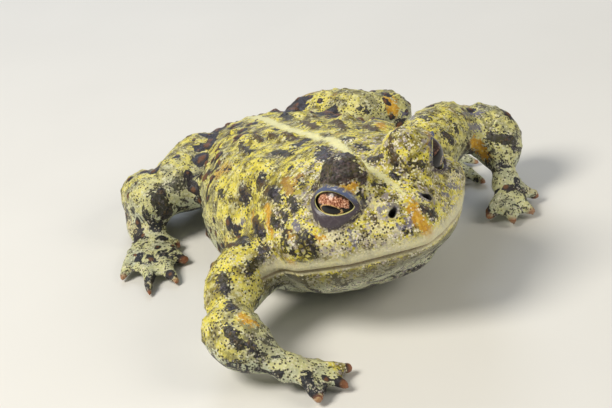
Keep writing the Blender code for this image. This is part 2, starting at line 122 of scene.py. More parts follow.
# Swellings of the skin
PAROTOID_Y = -17.0
PAROTOID_ANGLE = math.radians(54.0)
PAROTOID_SIZE = (3.3, 5.6, 1.5)
LARGE_WARTS = ((-4.5, 62.0), (-11.0, 54.0), (-10.5, 99.0), (2.0, 112.0), (6.0, 76.0))
LARGE_WART_RADIUS = 2.1
WART_COUNT = 44
WART_RADIUS = (0.9, 1.8)
WART_SPACING = 3.7
WART_Y = (-13.0, 27.0)
WART_ANGLE = (22.0, 158.0)
WART_STRETCH = (1.0, 1.35)
STRIPE_HALF_WIDTH = 1.5

# Limbs: the joints of each, from the body outwards, and the radius at each joint
LIMBS = {
    "upper_arm_right": (((-11.0, -23.5, 10.5), (-19.0, -28.0, 10.0), (-25.5, -34.5, 7.8)), (5.0, 5.0, 4.3)),
    "forearm_right": (((-26.0, -33.6, 7.6), (-24.6, -40.0, 6.4), (-21.0, -45.0, 4.0)), (4.4, 4.5, 2.9)),
    "upper_arm_left": (((12.5, -17.5, 12.0), (22.0, -9.6, 13.0), (30.2, -1.4, 11.6)), (5.2, 5.5, 4.6)),
    "forearm_left": (((30.8, -1.4, 11.2), (33.9, -7.6, 9.2), (32.8, -13.6, 5.6)), (4.6, 4.7, 3.0)),
    "thigh_right": (((-7.5, 24.0, 7.8), (-14.0, 17.0, 7.6), (-20.6, 9.6, 9.0)), (6.0, 5.7, 4.8)),
    "shank_right": (((-22.0, 8.4, 8.0), (-22.6, 17.0, 6.2), (-20.0, 26.0, 4.3)), (4.7, 4.6, 3.1)),
    "thigh_left": (((7.5, 24.0, 8.0), (14.5, 18.5, 8.8), (21.3, 11.0, 11.4)), (6.0, 5.8, 4.9)),
    "shank_left": (((23.0, 9.8, 10.2), (23.2, 18.0, 7.6), (20.2, 26.5, 4.5)), (4.8, 4.7, 3.2)),
}
PALMS = {
    "hand_right": (((-20.6, -45.0, 3.8), (-19.5, -46.6, 3.0), (-18.5, -47.8, 2.5)), (2.8, 2.8, 2.2)),
    "hand_left": (((32.6, -14.0, 5.2), (31.8, -15.4, 4.2), (31.0, -16.7, 3.3)), (2.7, 2.7, 2.1)),
    "foot_right": (((-20.4, 26.4, 3.4), (-24.2, 17.8, 2.4), (-26.4, 9.4, 1.8)), (2.9, 2.9, 3.1)),
    "foot_left": (((20.6, 27.0, 3.5), (25.0, 18.4, 2.4), (27.6, 10.0, 1.8)), (2.9, 2.9, 3.1)),
}
DIGIT_TIPS = {
    "hand_right": ((-13.6, -44.6), (-10.4, -48.6), (-12.6, -53.0), (-18.0, -54.4)),
    "hand_left": ((25.6, -19.4), (28.6, -23.6), (33.2, -22.6), (36.8, -17.4)),
    "foot_right": ((-20.6, 4.8), (-21.6, -1.2), (-25.2, -7.2), (-30.6, -8.2), (-33.4, -0.2)),
    "foot_left": ((21.0, 5.4), (22.4, -0.6), (26.6, -6.4), (32.0, -7.0), (34.8, 0.8)),
}
DIGIT_RADIUS = 1.15
DIGIT_REST_HEIGHT = 0.45
DIGIT_ARCH = 0.8
LIMB_BLUNTNESS = 3.0
PALM_FLATNESS = 0.75

# The photograph: its frame in pixels, and its view's turn round the toad, height, lean, place and lens
PHOTO_WIDTH = 612.0
PHOTO_HEIGHT = 408.0
VIEW_AZIMUTH = math.radians(-16.38)
VIEW_ELEVATION = math.radians(26.42)
VIEW_ROLL = math.radians(-10.17)
VIEW_PLACE = (-73.0, -251.6, 134.3)
VIEW_DISTANCE = 250.0
LENS = 100.0
SENSOR_WIDTH = 36.0

# Markings: the photograph's pixels, x and y, at the two ends of each, and half its width in pixels
PIXELS_PER_MM = 6.55
FACE_SPREAD = 1.15
FLANK_SPREAD = 1.45
FLANK_PIXEL = 300
THINNEST_MARK = 0.2
MARK_REACH = 5.0
MARKS = {
    "dark": (
        (337, 141, 351, 139, 4.0), (357, 146, 366, 149, 3.6), (370, 160, 381, 157, 4.0),
        (358, 129, 358, 129, 2.6), (276, 153, 292, 154, 4.6), (297, 146, 308, 140, 4.0),
        (397, 165, 397, 165, 2.5), (413, 163, 423, 165, 3.2), (392, 174, 398, 180, 4.0),
        (373, 184, 383, 185, 2.6), (360, 193, 364, 203, 2.6), (420, 197, 426, 199, 2.0),
        (425, 210, 433, 215, 4.2), (404, 232, 409, 232, 1.8), (291, 199, 296, 210, 3.0),
        (290, 246, 293, 254, 2.2), (305, 238, 311, 242, 3.0), (314, 250, 316, 257, 2.2),
        (283, 226, 287, 234, 2.6), (446, 167, 457, 171, 2.6), (360, 108, 369, 112, 2.2),
        (420, 117, 429, 120, 2.8), (239, 166, 239, 166, 2.2), (272, 220, 278, 226, 3.4),
        (281, 211, 286, 218, 2.4), (240, 238, 245, 243, 3.2), (260, 248, 268, 250, 3.4),
        (222, 277, 232, 308, 4.4), (249, 269, 262, 259, 4.2), (290, 275, 303, 280, 4.6),
        (310, 287, 319, 291, 4.4), (334, 277, 344, 284, 3.6), (284, 116, 290, 120, 4.0),
        (491, 137, 513, 142, 6.4), (466, 142, 470, 153, 2.2), (474, 156, 494, 151, 2.2),
        (493, 170, 502, 165, 2.6), (444, 134, 451, 141, 4.2), (454, 125, 456, 132, 3.0),
        (220, 191, 223, 197, 2.8), (247, 200, 245, 197, 4.4), (262, 176, 261, 179, 3.8),
        (273, 194, 279, 199, 4.2), (262, 235, 258, 230, 4.0), (158, 198, 166, 212, 7.0),
        (240, 146, 251, 153, 3.0), (299, 180, 301, 184, 1.6), (296, 188, 297, 189, 1.3),
        (268, 262, 274, 268, 3.0), (228, 330, 240, 345, 4.0), (250, 345, 256, 352, 3.5),
    ),
    "brown": (
        # The first two brown lines run along the back of the far eye's dome: painted shade that darkens its
        # outline
        (392, 134, 392, 151, 0.9), (393, 133, 401, 127, 0.7), (335, 122, 343, 129, 3.6),
        (365, 127, 376, 131, 3.2), (395, 156, 397, 163, 3.0), (260, 181, 263, 186, 3.6),
        (243, 191, 247, 195, 4.2), (268, 191, 274, 194, 3.6), (256, 223, 262, 231, 4.2),
        (229, 246, 233, 246, 3.2), (369, 254, 373, 257, 2.0), (344, 257, 346, 259, 1.6),
        (369, 248, 369, 248, 1.2), (373, 218, 374, 220, 1.5), (304, 122, 315, 128, 3.2),
        (270, 138, 296, 139, 2.2), (392, 176, 396, 179, 1.8), (257, 140, 263, 140, 2.2),
    ),
    "plum": (
        (322, 154, 348, 157, 7.5), (323, 169, 350, 169, 9.5), (321, 181, 335, 181, 5.5),
        (350, 173, 363, 178, 4.6), (318, 148, 328, 148, 4.0), (314, 187, 334, 189, 3.2),
        (330, 176, 345, 180, 5.0),
    ),
    "lavender": (
        (408, 218, 410, 225, 1.7), (399, 227, 405, 228, 1.7), (380, 213, 385, 207, 2.6),
        (352, 234, 353, 244, 2.2), (449, 186, 459, 188, 2.0), (443, 194, 447, 195, 1.8),
        (451, 206, 455, 208, 1.7), (463, 113, 478, 112, 3.0), (470, 126, 477, 128, 3.4),
        (404, 114, 413, 119, 3.2), (373, 121, 377, 121, 1.6), (243, 222, 243, 222, 2.6),
        (401, 188, 401, 188, 1.2), (296, 223, 298, 229, 2.2), (307, 232, 309, 236, 1.6),
    ),
    "amber": (
        (416, 215, 424, 226, 5.0), (424, 226, 430, 235, 5.4), (411, 203, 415, 211, 2.8),
        (381, 123, 396, 128, 3.6), (389, 99, 394, 111, 4.4), (429, 133, 431, 136, 2.2),
        (267, 208, 271, 234, 2.4), (253, 216, 253, 216, 2.6), (237, 230, 237, 230, 2.4),
        (338, 190, 348, 185, 3.0), (354, 184, 350, 191, 3.2), (473, 143, 484, 155, 5.4),
        (318, 236, 322, 239, 1.5), (288, 232, 290, 238, 1.8), (244, 318, 252, 322, 3.0),
        (290, 263, 294, 264, 2.4), (396, 158, 396, 158, 1.6),
    ),
    "pale": (
        (323, 240, 341, 238, 5.0), (323, 251, 341, 250, 5.0), (373, 226, 398, 232, 4.2),
        (368, 202, 380, 204, 3.4), (427, 238, 440, 230, 3.6), (360, 240, 392, 241, 3.0),
        (450, 178, 460, 172, 3.6),
    ),
    "net": (
        (304, 240, 310, 254, 8.0), (300, 262, 308, 264, 4.0), (283, 240, 286, 250, 5.0),
    ),
    "rust": (
        (427, 134, 431, 150, 2.4), (334, 185, 348, 180, 0.9), (348, 180, 365, 179, 0.9),
        (285, 181, 291, 191, 3.4), (294, 184, 300, 176, 2.2), (391, 138, 391, 150, 1.0),
    ),
}

# The stripe down the back: x, y and half width
STRIPE_REACH = 9.0
STRIPE_PATH = (
    (0.0, 30.0, 0.6), (-0.4, 12.0, 0.65), (-0.9, -4.9, 0.65), (0.3, -21.5, 0.7),
    (0.6, -29.3, 0.55), (2.2, -35.0, 0.5), (3.2, -37.9, 0.4), (3.9, -41.1, 0.15),
)

# Folds and slits of the head, in its own frame, for the toad's left side
BROW_CREASE = (
    (11.4, 14.5, 9.8), (10.9, 13.4, 10.4), (10.2, 10.5, 10.7),
    (9.4, 8.5, 11.1), (7.3, 7.9, 11.1), (4.8, 7.3, 10.4),
)
NOSTRIL_SLIT = ((3.4, 4.9, 4.5), (2.4, 5.4, 4.8))

# The bare lids: their widths in front, behind, above and below
LID_WIDTHS = {"right": (0.8, 0.9, 0.7, 2.2), "left": (0.25, 0.4, 0.2, 0.55)}
LID_PUFF = (0.28, 0.14)
LID_MARGIN_RADIUS = 0.1
LID_MARGIN_REACH = 0.34

# Ridges and grooves of the skin: height, distance from the line they follow, and half width
LID_GROOVE = (-0.26, 0.12, 0.24)
BROW_GROOVE = (-0.42, 0.0, 0.28)
BROW_FOLD = (0.4, 0.9, 0.6)
MOUTH_GROOVE = (-0.55, 0.0, 0.22)
UPPER_LIP = (0.2, 0.8, 0.5)
LOWER_LIP = (0.12, -0.7, 0.4)
NOSTRIL_RIM = (0.16, 0.75, 0.25)
NOSTRIL_DEPTH = 1.0
EARDRUM_RIM = (0.3, EARDRUM_RADIUS, 0.35)
EARDRUM_DEPTH = 0.12

# Warts: height for their radius, and for the fine ones their spacing, most of them, seed and radius
CAD_WART_HEIGHT = 0.42
BODY_WART_HEIGHT = 0.34
BODY_WARTS = (2.3, 700, 3)
BODY_WART_RADIUS = (0.45, 0.95)
CROWN_WART_HEIGHT = 0.36
CROWN_WARTS = (0.8, 1400, 5)
CROWN_WART_RADIUS = (0.2, 0.45)
DARK_REACH = 1.9
MARK_HEIGHTS = {"dark": 0.2, "brown": 0.36}
FINE_UNEVENNESS = 0.1

# Where the skin has its finest faces: limits across, back and up, in the head's own frame and on the back
FINE_HEAD = ((-16.0, 16.0), (-2.0, 25.0), (-6.0, 99.0))
FINE_BACK = ((-16.0, 16.0), (-99.0, 0.0), (15.0, 99.0))
FAR = 99.0

# Faces round and along each ball before it is shaped, and the size of the skin's first, coarse faces
TRUNK_FACES = (72, 60)
HEAD_FACES = (80, 60)
LIMB_FACES = (32, 24)
PALM_FACES = (24, 18)
DIGIT_FACES = (14, 16)
SOCKET_FACES = (40, 24)
EYE_FACES = (64, 48)
COARSE_GRID = 0.6
SOCKET_GAP = 0.12

# Numbers kept for each point of the skin, besides the distance from each kind of marking
FIELDS = (
    "lid_bag", "lid_rise", "lip_height", "nostril_gap", "wart_top", "wart_dark",
    "underside", "stripe_gap", "tip_gap", "wild", "on_head",
)

# Noise in the skin's pattern: size in millimetres, detail, roughness and distortion
GRAIN_SIZE = 0.34
FLECK_SIZE = 0.5
LATTICE_SIZE = 0.9
SKIN_NOISES = {
    "edge": (0.9, 3.0, 0.6, 0.0),
    "ground": (2.6, 3.0, 0.5, 0.0),
    "cream": (1.2, 3.0, 0.5, 0.0),
    "gold": (7.0, 2.0, 0.5, 0.5),
    "under": (2.0, 2.0, 0.5, 0.0),
    "marbling": (3.2, 3.0, 0.5, 1.2),
    "dense": (2.2, 2.0, 0.5, 0.0),
    "cluster": (1.7, 3.0, 0.6, 0.0),
    "moss": (0.75, 4.0, 0.7, 0.0),
    "spot": (0.6, 2.0, 0.5, 0.0),
    "loose": (3.0, 3.0, 0.55, 0.8),
    "plum": (0.7, 3.0, 0.5, 0.0),
    "lid": (0.5, 2.0, 0.5, 0.0),
    "gloss": (0.7, 2.0, 0.5, 0.0),
    "pore": (0.2, 2.0, 0.5, 0.0),
}

WET_SKIN_IOR = 1.4
CORNEA_IOR = 1.376

# The eye's pattern: the height of the pupil's middle and its flatness, and the cornea's bulge
PUPIL_HEIGHT = -0.93
PUPIL_FLATNESS = 0.37
CORNEA_BULGE = 0.07

# Studio lights: place and size in metres, power for each unit of the key setting, and colour
LIGHTS = {
    "key": ((-0.3, -0.02, 0.37), 0.22, 5.2, "#FFFAF0"),
    "fill": ((0.35, -0.3, 0.3), 0.3, 2.6, "#FFF9EC"),
    "rim": ((0.1, 0.4, 0.3), 0.2, 1.6, "#DCE8FF"),
}
LIGHT_AIM = (0.0, -0.01, 0.01)
SKY_STRENGTH = 0.26

# Settings of the nodes that most patterns use
SOFT = {"interpolation_type": "SMOOTHSTEP"}
RGBA = {"data_type": "RGBA"}
TIMES = {"operation": "MULTIPLY"}
TIMES_PLUS = {"operation": "MULTIPLY_ADD"}
MINUS = {"operation": "SUBTRACT"}

FLESH = ["torso", "head", "lower_jaw", *LIMBS, *PALMS]


def interpolate(points, at):
    """A smooth curve through a few (place, value) points, flat past its ends and without overshoot."""
    if at <= points[0][0]:
        return points[0][1]
    if at >= points[-1][0]:
        return points[-1][1]
    slopes = [(b[1] - a[1]) / (b[0] - a[0]) for a, b in zip(points, points[1:])]
    tangents = [slopes[0]]
    for before, after in zip(slopes, slopes[1:]):
        tangents.append(0.0 if before * after <= 0.0 else 2.0 * before * after / (before + after))
    tangents.append(slopes[-1])
    for index, (a, b) in enumerate(zip(points, points[1:])):
        if at <= b[0]:
            span = b[0] - a[0]
            t = (at - a[0]) / span
            hold = (1 + 2 * t) * (1 - t) ** 2 * a[1] + t * t * (3 - 2 * t) * b[1]
            turn = t * (1 - t) ** 2 * tangents[index] - t * t * (1 - t) * tangents[index + 1]
            return hold + turn * span
    return points[-1][1]


def closing(t, bluntness):
    """1 along most of a pod and 0 at both its ends."""
    return max(0.0, 1.0 - abs(2.0 * t - 1.0) ** bluntness) ** (1.0 / bluntness)


def rounding(distance, curve):
    """0 at the front of the head and 1 from the curve's length onwards."""
    length, first, second = curve
    return max(0.0, 1.0 - max(0.0, (length - distance) / length) ** first) ** (1.0 / second)


def power(value, exponent):
    return math.copysign(abs(value) ** exponent, value)


def head_to_world(place):
    """From the head's own frame to the toad's."""
    across, back, up = place
    forward = NECK_TO_SNOUT - back * math.cos(HEAD_PITCH) - up * math.sin(HEAD_PITCH)
    x = across * math.cos(HEAD_TURN) + forward * math.sin(HEAD_TURN)
    y = across * math.sin(HEAD_TURN) - forward * math.cos(HEAD_TURN)
    return Vector((x, NECK_Y + y, LIP_HEIGHT - back * math.sin(HEAD_PITCH) + up * math.cos(HEAD_PITCH)))


def head_direction(direction):
    """A direction in the head's frame, turned into the toad's."""
    return (head_to_world(direction) - head_to_world((0, 0, 0))).normalized()


def head_half_width(back):
    return HEAD_WIDTH / 2.0 * rounding(back - HEAD_FRONT, LIP_CURVE)


def trunk_surface(t, angle):
    y = TRUNK_START_Y + (VENT_Y - TRUNK_START_Y) * t
    end = closing(t, TRUNK_BLUNTNESS)
    width = interpolate(TRUNK_HALF_WIDTH, y) * end
    middle = interpolate(FLANK_HEIGHT, y)
    across, upward = math.cos(angle), math.sin(angle)
    x = interpolate(TRUNK_SWAY, y)
    if upward >= 0.0:
        height = (interpolate(BACK_HEIGHT, y) - middle) * end
        x += width * power(across, BACK_ROUNDNESS)
        return Vector((x, y, middle + height * power(upward, BACK_ROUNDNESS)))
    depth = (middle - interpolate(BELLY_HEIGHT, y)) * end
    x += width * power(across, BELLY_ROUNDNESS)
    return Vector((x, y, middle + depth * power(upward, BELLY_ROUNDNESS)))


def cheek(back, across, upward):
    """How far the cheek swells outwards, most a little above the corner of the mouth."""
    lengthwise = math.exp(-(((back - CHEEK_MIDDLE[0]) / CHEEK_MIDDLE[1]) ** 2))
    angle = math.degrees(math.atan2(upward, abs(across)))
    upwards = math.exp(-(((angle - CHEEK_RISE[0]) / CHEEK_RISE[1]) ** 2))
    return math.copysign(CHEEK_BULGE * lengthwise * upwards * min(1.0, 4.0 * abs(across)), across)


def head_surface(t, angle):
    back = HEAD_FRONT + (HEAD_LENGTH - HEAD_FRONT) * t
    end = closing(max(t, 0.5), NAPE_BLUNTNESS)
    width = head_half_width(back) * end
    rise = rounding(back - HEAD_FRONT, SNOUT_CURVE) * end
    across, upward = math.cos(angle), math.sin(angle)
    if upward >= 0.0:
        height = interpolate(CROWN_HEIGHT, back) * rise
        side = width * power(across, CROWN_ROUNDNESS[0]) + cheek(back, across, upward)
        return head_to_world((side, back, height * power(upward, CROWN_ROUNDNESS[1])))
    jaw = width - LIP_OVERHANG * min(1.0, -3.0 * upward, width / 4.0)
    depth = interpolate(CHIN_DEPTH, back) * rise
    return head_to_world((jaw * power(across, JAW_ROUNDNESS), back, depth * power(upward, JAW_ROUNDNESS)))


def limb_surface(joints, radii, flatness=1.0):
    """The surface of a round limb through its joints, with a radius at each."""
    last = len(joints) - 1
    tables = [[(index, joint[axis]) for index, joint in enumerate(joints)] for axis in range(3)]
    radius_table = list(enumerate(radii))

    def centre(place):
        return Vector([interpolate(table, place) for table in tables])

    def surface(t, angle):
        place = last * t
        forward = (centre(min(last, place + 0.05)) - centre(max(0.0, place - 0.05))).normalized()
        side = forward.cross(Vector((0.0, 0.0, 1.0)))
        side = side.normalized() if side.length > 0.05 else Vector((1.0, 0.0, 0.0))
        above = side.cross(forward)
        offset = side * math.cos(angle) + above * flatness * math.sin(angle)
        return centre(place) + offset * interpolate(radius_table, place) * closing(t, LIMB_BLUNTNESS)

    return surface


def trunk_frame(y, angle):
    """A point of the back at y and at an angle round it, with the direction out of it."""
    t = (y - TRUNK_START_Y) / (VENT_Y - TRUNK_START_Y)
    here = trunk_surface(t, angle)
    along = trunk_surface(t + 0.01, angle) - here
    around = trunk_surface(t, angle + 0.03) - here
    return here, along.cross(around).normalized()


def smooth_step(low, high, value):
    t = np.clip((value - low) / (high - low), 0.0, 1.0)
    return t * t * (3.0 - 2.0 * t)


def add_pod(shape, surface, faces):
    """Adds a ball to the shape, its points moved to surface(t, angle), t running from end to end."""
    ball = bmesh.ops.create_uvsphere(shape, u_segments=faces[0], v_segments=faces[1], radius=1.0)
    for point in ball["verts"]:
        angle = math.atan2(point.co.y, point.co.x)
        point.co = surface((1.0 - point.co.z) / 2.0, angle)


def add_dome(shape, centre, outward, heading, size, squareness=1.0):
    """Adds an ellipsoid that stands out of the surface by its third size and sinks as far below it."""
    side = heading.cross(outward).normalized()
    forward = outward.cross(side)
    ball = bmesh.ops.create_uvsphere(shape, u_segments=32, v_segments=20, radius=1.0)
    for point in ball["verts"]:
        x, y, z = (power(place, squareness) * half for place, half in zip(point.co, size))
        point.co = centre + side * x + forward * y + outward * z


def new_object(name, shape):
    """A mesh object that keeps the bmesh's own units."""
    bmesh.ops.recalc_face_normals(shape, faces=shape.faces)
    mesh = bpy.data.meshes.new(name)
    shape.to_mesh(mesh)
    shape.free()
    made = bpy.data.objects.new(name, mesh)
    bpy.context.scene.collection.objects.link(made)
    return made


def modify(target, kind, **settings):
    """Gives the object a modifier with its settings, and applies it."""
    modifier = target.modifiers.new(kind.lower(), kind)
    for name, value in settings.items():
        setattr(modifier, name, value)
    graph = bpy.context.evaluated_depsgraph_get()
    shaped = bpy.data.meshes.new_from_object(target.evaluated_get(graph))
    old = target.data
    target.modifiers.clear()
    target.data = shaped
    bpy.data.meshes.remove(old)


def to_metres(target):
    target.data.transform(Matrix.Scale(MM, 4))


def read_vectors(items, name):
    """A row of three numbers for each of the items."""
    flat = np.empty(len(items) * 3)
    items.foreach_get(name, flat)
    return flat.reshape(-1, 3)


def store(mesh, name, values):
    """Keeps one number for each point, for the material to read."""
    layer = mesh.attributes.new(name, "FLOAT", "POINT")
    layer.data.foreach_set("value", values.astype(np.float32))


def cloud(points, size, seed):
    """Smooth noise between about -1 and 1 at each point, with features about as wide as size."""
    shift = Vector((seed * 17.3, seed * 5.1, seed * 9.7))
    return np.array([noise.noise(Vector(point) / size + shift) for point in points])


def linear(code):
    """An sRGB hex colour as the linear RGBA that shaders take."""
    values = [int(code[index:index + 2], 16) / 255.0 for index in (1, 3, 5)]
    return (*[v / 12.92 if v <= 0.04045 else ((v + 0.055) / 1.055) ** 2.4 for v in values], 1.0)


def fill(tree, socket, value):
    """Gives a node's input a link, a hex colour or a value."""
    if isinstance(value, bpy.types.NodeSocket):
        tree.links.new(value, socket)
    else:
        socket.default_value = linear(value) if isinstance(value, str) else value


def add_node(tree, kind, *values, output=0, **settings):
    """Adds a node and returns an output. Its inputs are values, hex colours or links, in order or by name."""
    made = tree.nodes.new("ShaderNode" + kind)
    named = {name: settings.pop(name) for name in list(settings) if name in made.inputs}
    for name, value in settings.items():
        setattr(made, name, value)
    for socket, value in zip([socket for socket in made.inputs if socket.enabled], values):
        fill(tree, socket, value)
    for name, value in named.items():
        fill(tree, made.inputs[name], value)
    return [socket for socket in made.outputs if socket.enabled][output]


def lay_tone(tree, colour, tone, value, low, high, share=1.0):
    """Lays a tone over a colour: none of it where the value is low, and the share given where it is high."""
    amount = add_node(tree, "MapRange", value, low, high, 0.0, share, **SOFT)
    return add_node(tree, "Mix", amount, colour, tone, **RGBA)


def per_mm(size):
    """The scale of a texture whose features are about size millimetres wide."""
    return 1.0 / (size * MM)


def new_material(name):
    """A material with its node tree and the place of each point in metres."""
    material = bpy.data.materials.new(name)
    material.use_nodes = True
    return material, material.node_tree, add_node(material.node_tree, "TexCoord", output=3)


def finish_material(material, finish):
    """Gives the material's Principled shader its colour and finish, and the material back."""
    tree = material.node_tree
    for name, value in finish.items():
        fill(tree, tree.nodes["Principled BSDF"].inputs[name], value)
    return material


def eye_axes(sign):
    """Centre of one eye in the toad's frame, its gaze, and the directions up and back along its lids."""
    across, back, up = EYE_CENTRES[sign]
    centre = head_to_world((across * sign, back, up))
    across, back, up = EYE_GAZES[sign]
    gaze = head_direction((across * sign, back, up))
    upward = head_direction((0.0, 0.0, 1.0))
    level = (upward - gaze * upward.dot(gaze)).normalized()
    lean = Matrix.Rotation(EYE_TILT * sign, 3, gaze)
    upward = lean @ level
    return centre, gaze, upward, upward.cross(gaze) * sign


def opening_outline(sign, count):
    """The almond-shaped edge of the lids, across and up in the plane that faces the gaze."""
    half_length, half_height = EYE_OPENINGS[sign]
    turns = [2.0 * math.pi * step / count for step in range(count)]
    return [(half_length * math.cos(a), half_height * power(math.sin(a), OPENING_ROUNDNESS)) for a in turns]


def cad_warts():
    """Where the warts of the solids are: the centre, direction out, radius and stretch of each."""
    draw = random.Random(7)
    found = [(y, math.radians(angle), LARGE_WART_RADIUS, 1.3) for y, angle in LARGE_WARTS]
    placed = [trunk_frame(y, math.radians(angle))[0] for y, angle in LARGE_WARTS]
    while len(placed) < WART_COUNT:
        y = draw.uniform(*WART_Y)
        angle = math.radians(draw.uniform(*WART_ANGLE))
        radius = draw.uniform(*WART_RADIUS)
        stretch = draw.uniform(*WART_STRETCH)
        centre = trunk_frame(y, angle)[0]
        on_gland = y < PAROTOID_Y + 8.0 and abs(centre.x) > 6.0
        crowded = any((centre - other).length < WART_SPACING for other in placed)
        if on_gland or crowded or abs(centre.x) < STRIPE_HALF_WIDTH + radius:
            continue
        placed.append(centre)
        found.append((y, angle, radius, stretch))
    return [(*trunk_frame(y, angle), radius, stretch) for y, angle, radius, stretch in found]


def skin_forms():
    """Every fleshy form of the toad in one mesh, still overlapping one another."""
    shape = bmesh.new()
    add_pod(shape, trunk_surface, TRUNK_FACES)
    add_pod(shape, head_surface, HEAD_FACES)
    for sign in SIDES.values():
        centre = eye_axes(sign)[0]
        ball = bmesh.ops.create_uvsphere(shape, u_segments=32, v_segments=20, radius=LID_RADIUS)
        bmesh.ops.translate(shape, verts=ball["verts"], vec=centre)
        lid = head_to_world((UPPER_LID_CENTRE[0] * sign, UPPER_LID_CENTRE[1], UPPER_LID_CENTRE[2]))
        axes = head_direction((0, 0, 1)), head_direction((0, 1, 0))
        add_dome(shape, lid, *axes, UPPER_LID_SIZE, UPPER_LID_SQUARENESS)
        angle = PAROTOID_ANGLE if sign > 0 else math.pi - PAROTOID_ANGLE
        gland, outward = trunk_frame(PAROTOID_Y, angle)
        add_dome(shape, gland, outward, Vector((0.3 * sign, 1.0, -0.1)), PAROTOID_SIZE)
    for joints, radii in LIMBS.values():
        add_pod(shape, limb_surface(joints, radii), LIMB_FACES)
    for name, (joints, radii) in PALMS.items():
        add_pod(shape, limb_surface(joints, radii, PALM_FLATNESS), PALM_FACES)
        root = Vector(joints[2]).lerp(Vector(joints[1]), 0.2)
        for tip in DIGIT_TIPS[name]:
            end = Vector((tip[0], tip[1], DIGIT_REST_HEIGHT))
            knuckle = root.lerp(end, 0.5) + Vector((0.0, 0.0, DIGIT_ARCH))
            radii = (DIGIT_RADIUS * 1.05, DIGIT_RADIUS * 0.9, DIGIT_RADIUS)
            add_pod(shape, limb_surface((root, knuckle, end), radii, 0.95), DIGIT_FACES)
    return new_object("toad_skin", shape)


def lid_cutter(sign):
    """What the eye takes out of the skin: its ball, and the almond in front of it."""
    centre, gaze, upward, along = eye_axes(sign)
    shape = bmesh.new()
    ring = [centre + along * u + upward * v + gaze for u, v in opening_outline(sign, 40)]
    face = shape.faces.new([shape.verts.new(place) for place in ring])
    pushed = bmesh.ops.extrude_face_region(shape, geom=[face])
    outer = [item for item in pushed["geom"] if isinstance(item, bmesh.types.BMVert)]
    bmesh.ops.translate(shape, verts=outer, vec=gaze * 8.0)
    almond = new_object("almond", shape)
    ball = bmesh.new()
    radius = EYE_DIAMETER / 2.0 + SOCKET_GAP
    bmesh.ops.create_uvsphere(ball, u_segments=SOCKET_FACES[0], v_segments=SOCKET_FACES[1], radius=radius)
    bmesh.ops.translate(ball, verts=ball.verts, vec=centre)
    return [new_object("socket", ball), almond]


def within(place, box):
    return all(low < value < high for value, (low, high) in zip(place, box))


def refine_front(target):
    """Splits the faces of the head and of the front of the back, where most detail is."""
    shape = bmesh.new()
    shape.from_mesh(target.data)
    to_head, offset = head_frame()
    chosen = set()
    for face in shape.faces:
        middle = face.calc_center_median()
        local = to_head @ np.array(middle) - offset
        if within(local, FINE_HEAD) or within(middle, FINE_BACK):
            chosen.update(face.edges)
    bmesh.ops.subdivide_edges(shape, edges=list(chosen), cuts=1, use_grid_fill=True, smooth=0.0)
    shape.to_mesh(target.data)
    shape.free()


def head_frame():
    """The turn and shift that take toad coordinates to the head's own."""
    origin = head_to_world((0, 0, 0))
    axes = [head_to_world(unit) - origin for unit in ((1, 0, 0), (0, 1, 0), (0, 0, 1))]
    to_head = np.linalg.inv(np.array(axes).T)
    return to_head, to_head @ np.array(origin)


def lid_distance(points, sign):
    """How far each point is outside the edge of the lids, and its place back and up the eye."""
    centre, gaze, upward, along = eye_axes(sign)
    offset = points - np.array(centre)
    u, v, w = (offset @ np.array(axis) for axis in (along, upward, gaze))
    edge = np.array(opening_outline(sign, 72))
    gap = np.full(len(points), FAR)
    near = (np.abs(u) < 9.0) & (np.abs(v) < 9.0) & (w > -1.5)
    place = np.stack((u[near], v[near]), axis=1)
    gap[near] = np.sqrt(((place[:, None, :] - edge[None, :, :]) ** 2).sum(axis=2)).min(axis=1)
    half_length, half_height = EYE_OPENINGS[sign]
    span = np.clip(1.0 - (u / half_length) ** 2, 0.0, 1.0)
    inside = near & (np.abs(v) < half_height * span ** (OPENING_ROUNDNESS / 2.0))
    gap[inside] *= -1.0
    return gap, u, v


def lid_width(u, v, widths):
    """Width of the bare lids in the direction of each point: narrow in front and widest below."""
    front, behind, above, below = widths
    length = np.hypot(u, v) + 0.001
    along = np.where(u < 0.0, front, behind) * (u / length) ** 2
    return along + np.where(v < 0.0, below, above) * (v / length) ** 2


def segment_gap(points, start, end):
    """Distance of each point from a straight piece, and the nearest place on it."""
    start = np.array(start, dtype=float)
    run = np.array(end, dtype=float) - start
    t = np.clip((points - start) @ run / max(run @ run, 0.01), 0.0, 1.0)
    nearest = start + t[:, None] * run
    return np.linalg.norm(points - nearest, axis=1), nearest


def ridge(gap, profile):
    """The height of a ridge, or of a groove, along a line that is gap away."""
    height, middle, width = profile
    return height * np.exp(-((gap - middle) / width) ** 2)


def view_axes(azimuth, elevation, roll):
    """A camera's directions to the right, up and backwards."""
    level = Vector((math.cos(azimuth), math.sin(azimuth), 0.0))
    backward = level.cross(Vector((0.0, 0.0, 1.0))) * math.cos(elevation)
    backward.z = math.sin(elevation)
    right = Matrix.Rotation(roll, 3, backward) @ level
    return right, backward.cross(right), backward


def seen_place(skin, x, y):
    """The place on the skin that the photograph shows at a pixel, or the nearest one past the outline."""
    right, upward, backward = view_axes(VIEW_AZIMUTH, VIEW_ELEVATION, VIEW_ROLL)
    focal = LENS / SENSOR_WIDTH * PHOTO_WIDTH
    way = right * (x - PHOTO_WIDTH / 2.0) + upward * (PHOTO_HEIGHT / 2.0 - y) - backward * focal
    start = Vector(VIEW_PLACE)
    return skin.ray_cast(start, way)[0] or skin.find_nearest(start + way.normalized() * VIEW_DISTANCE)[0]


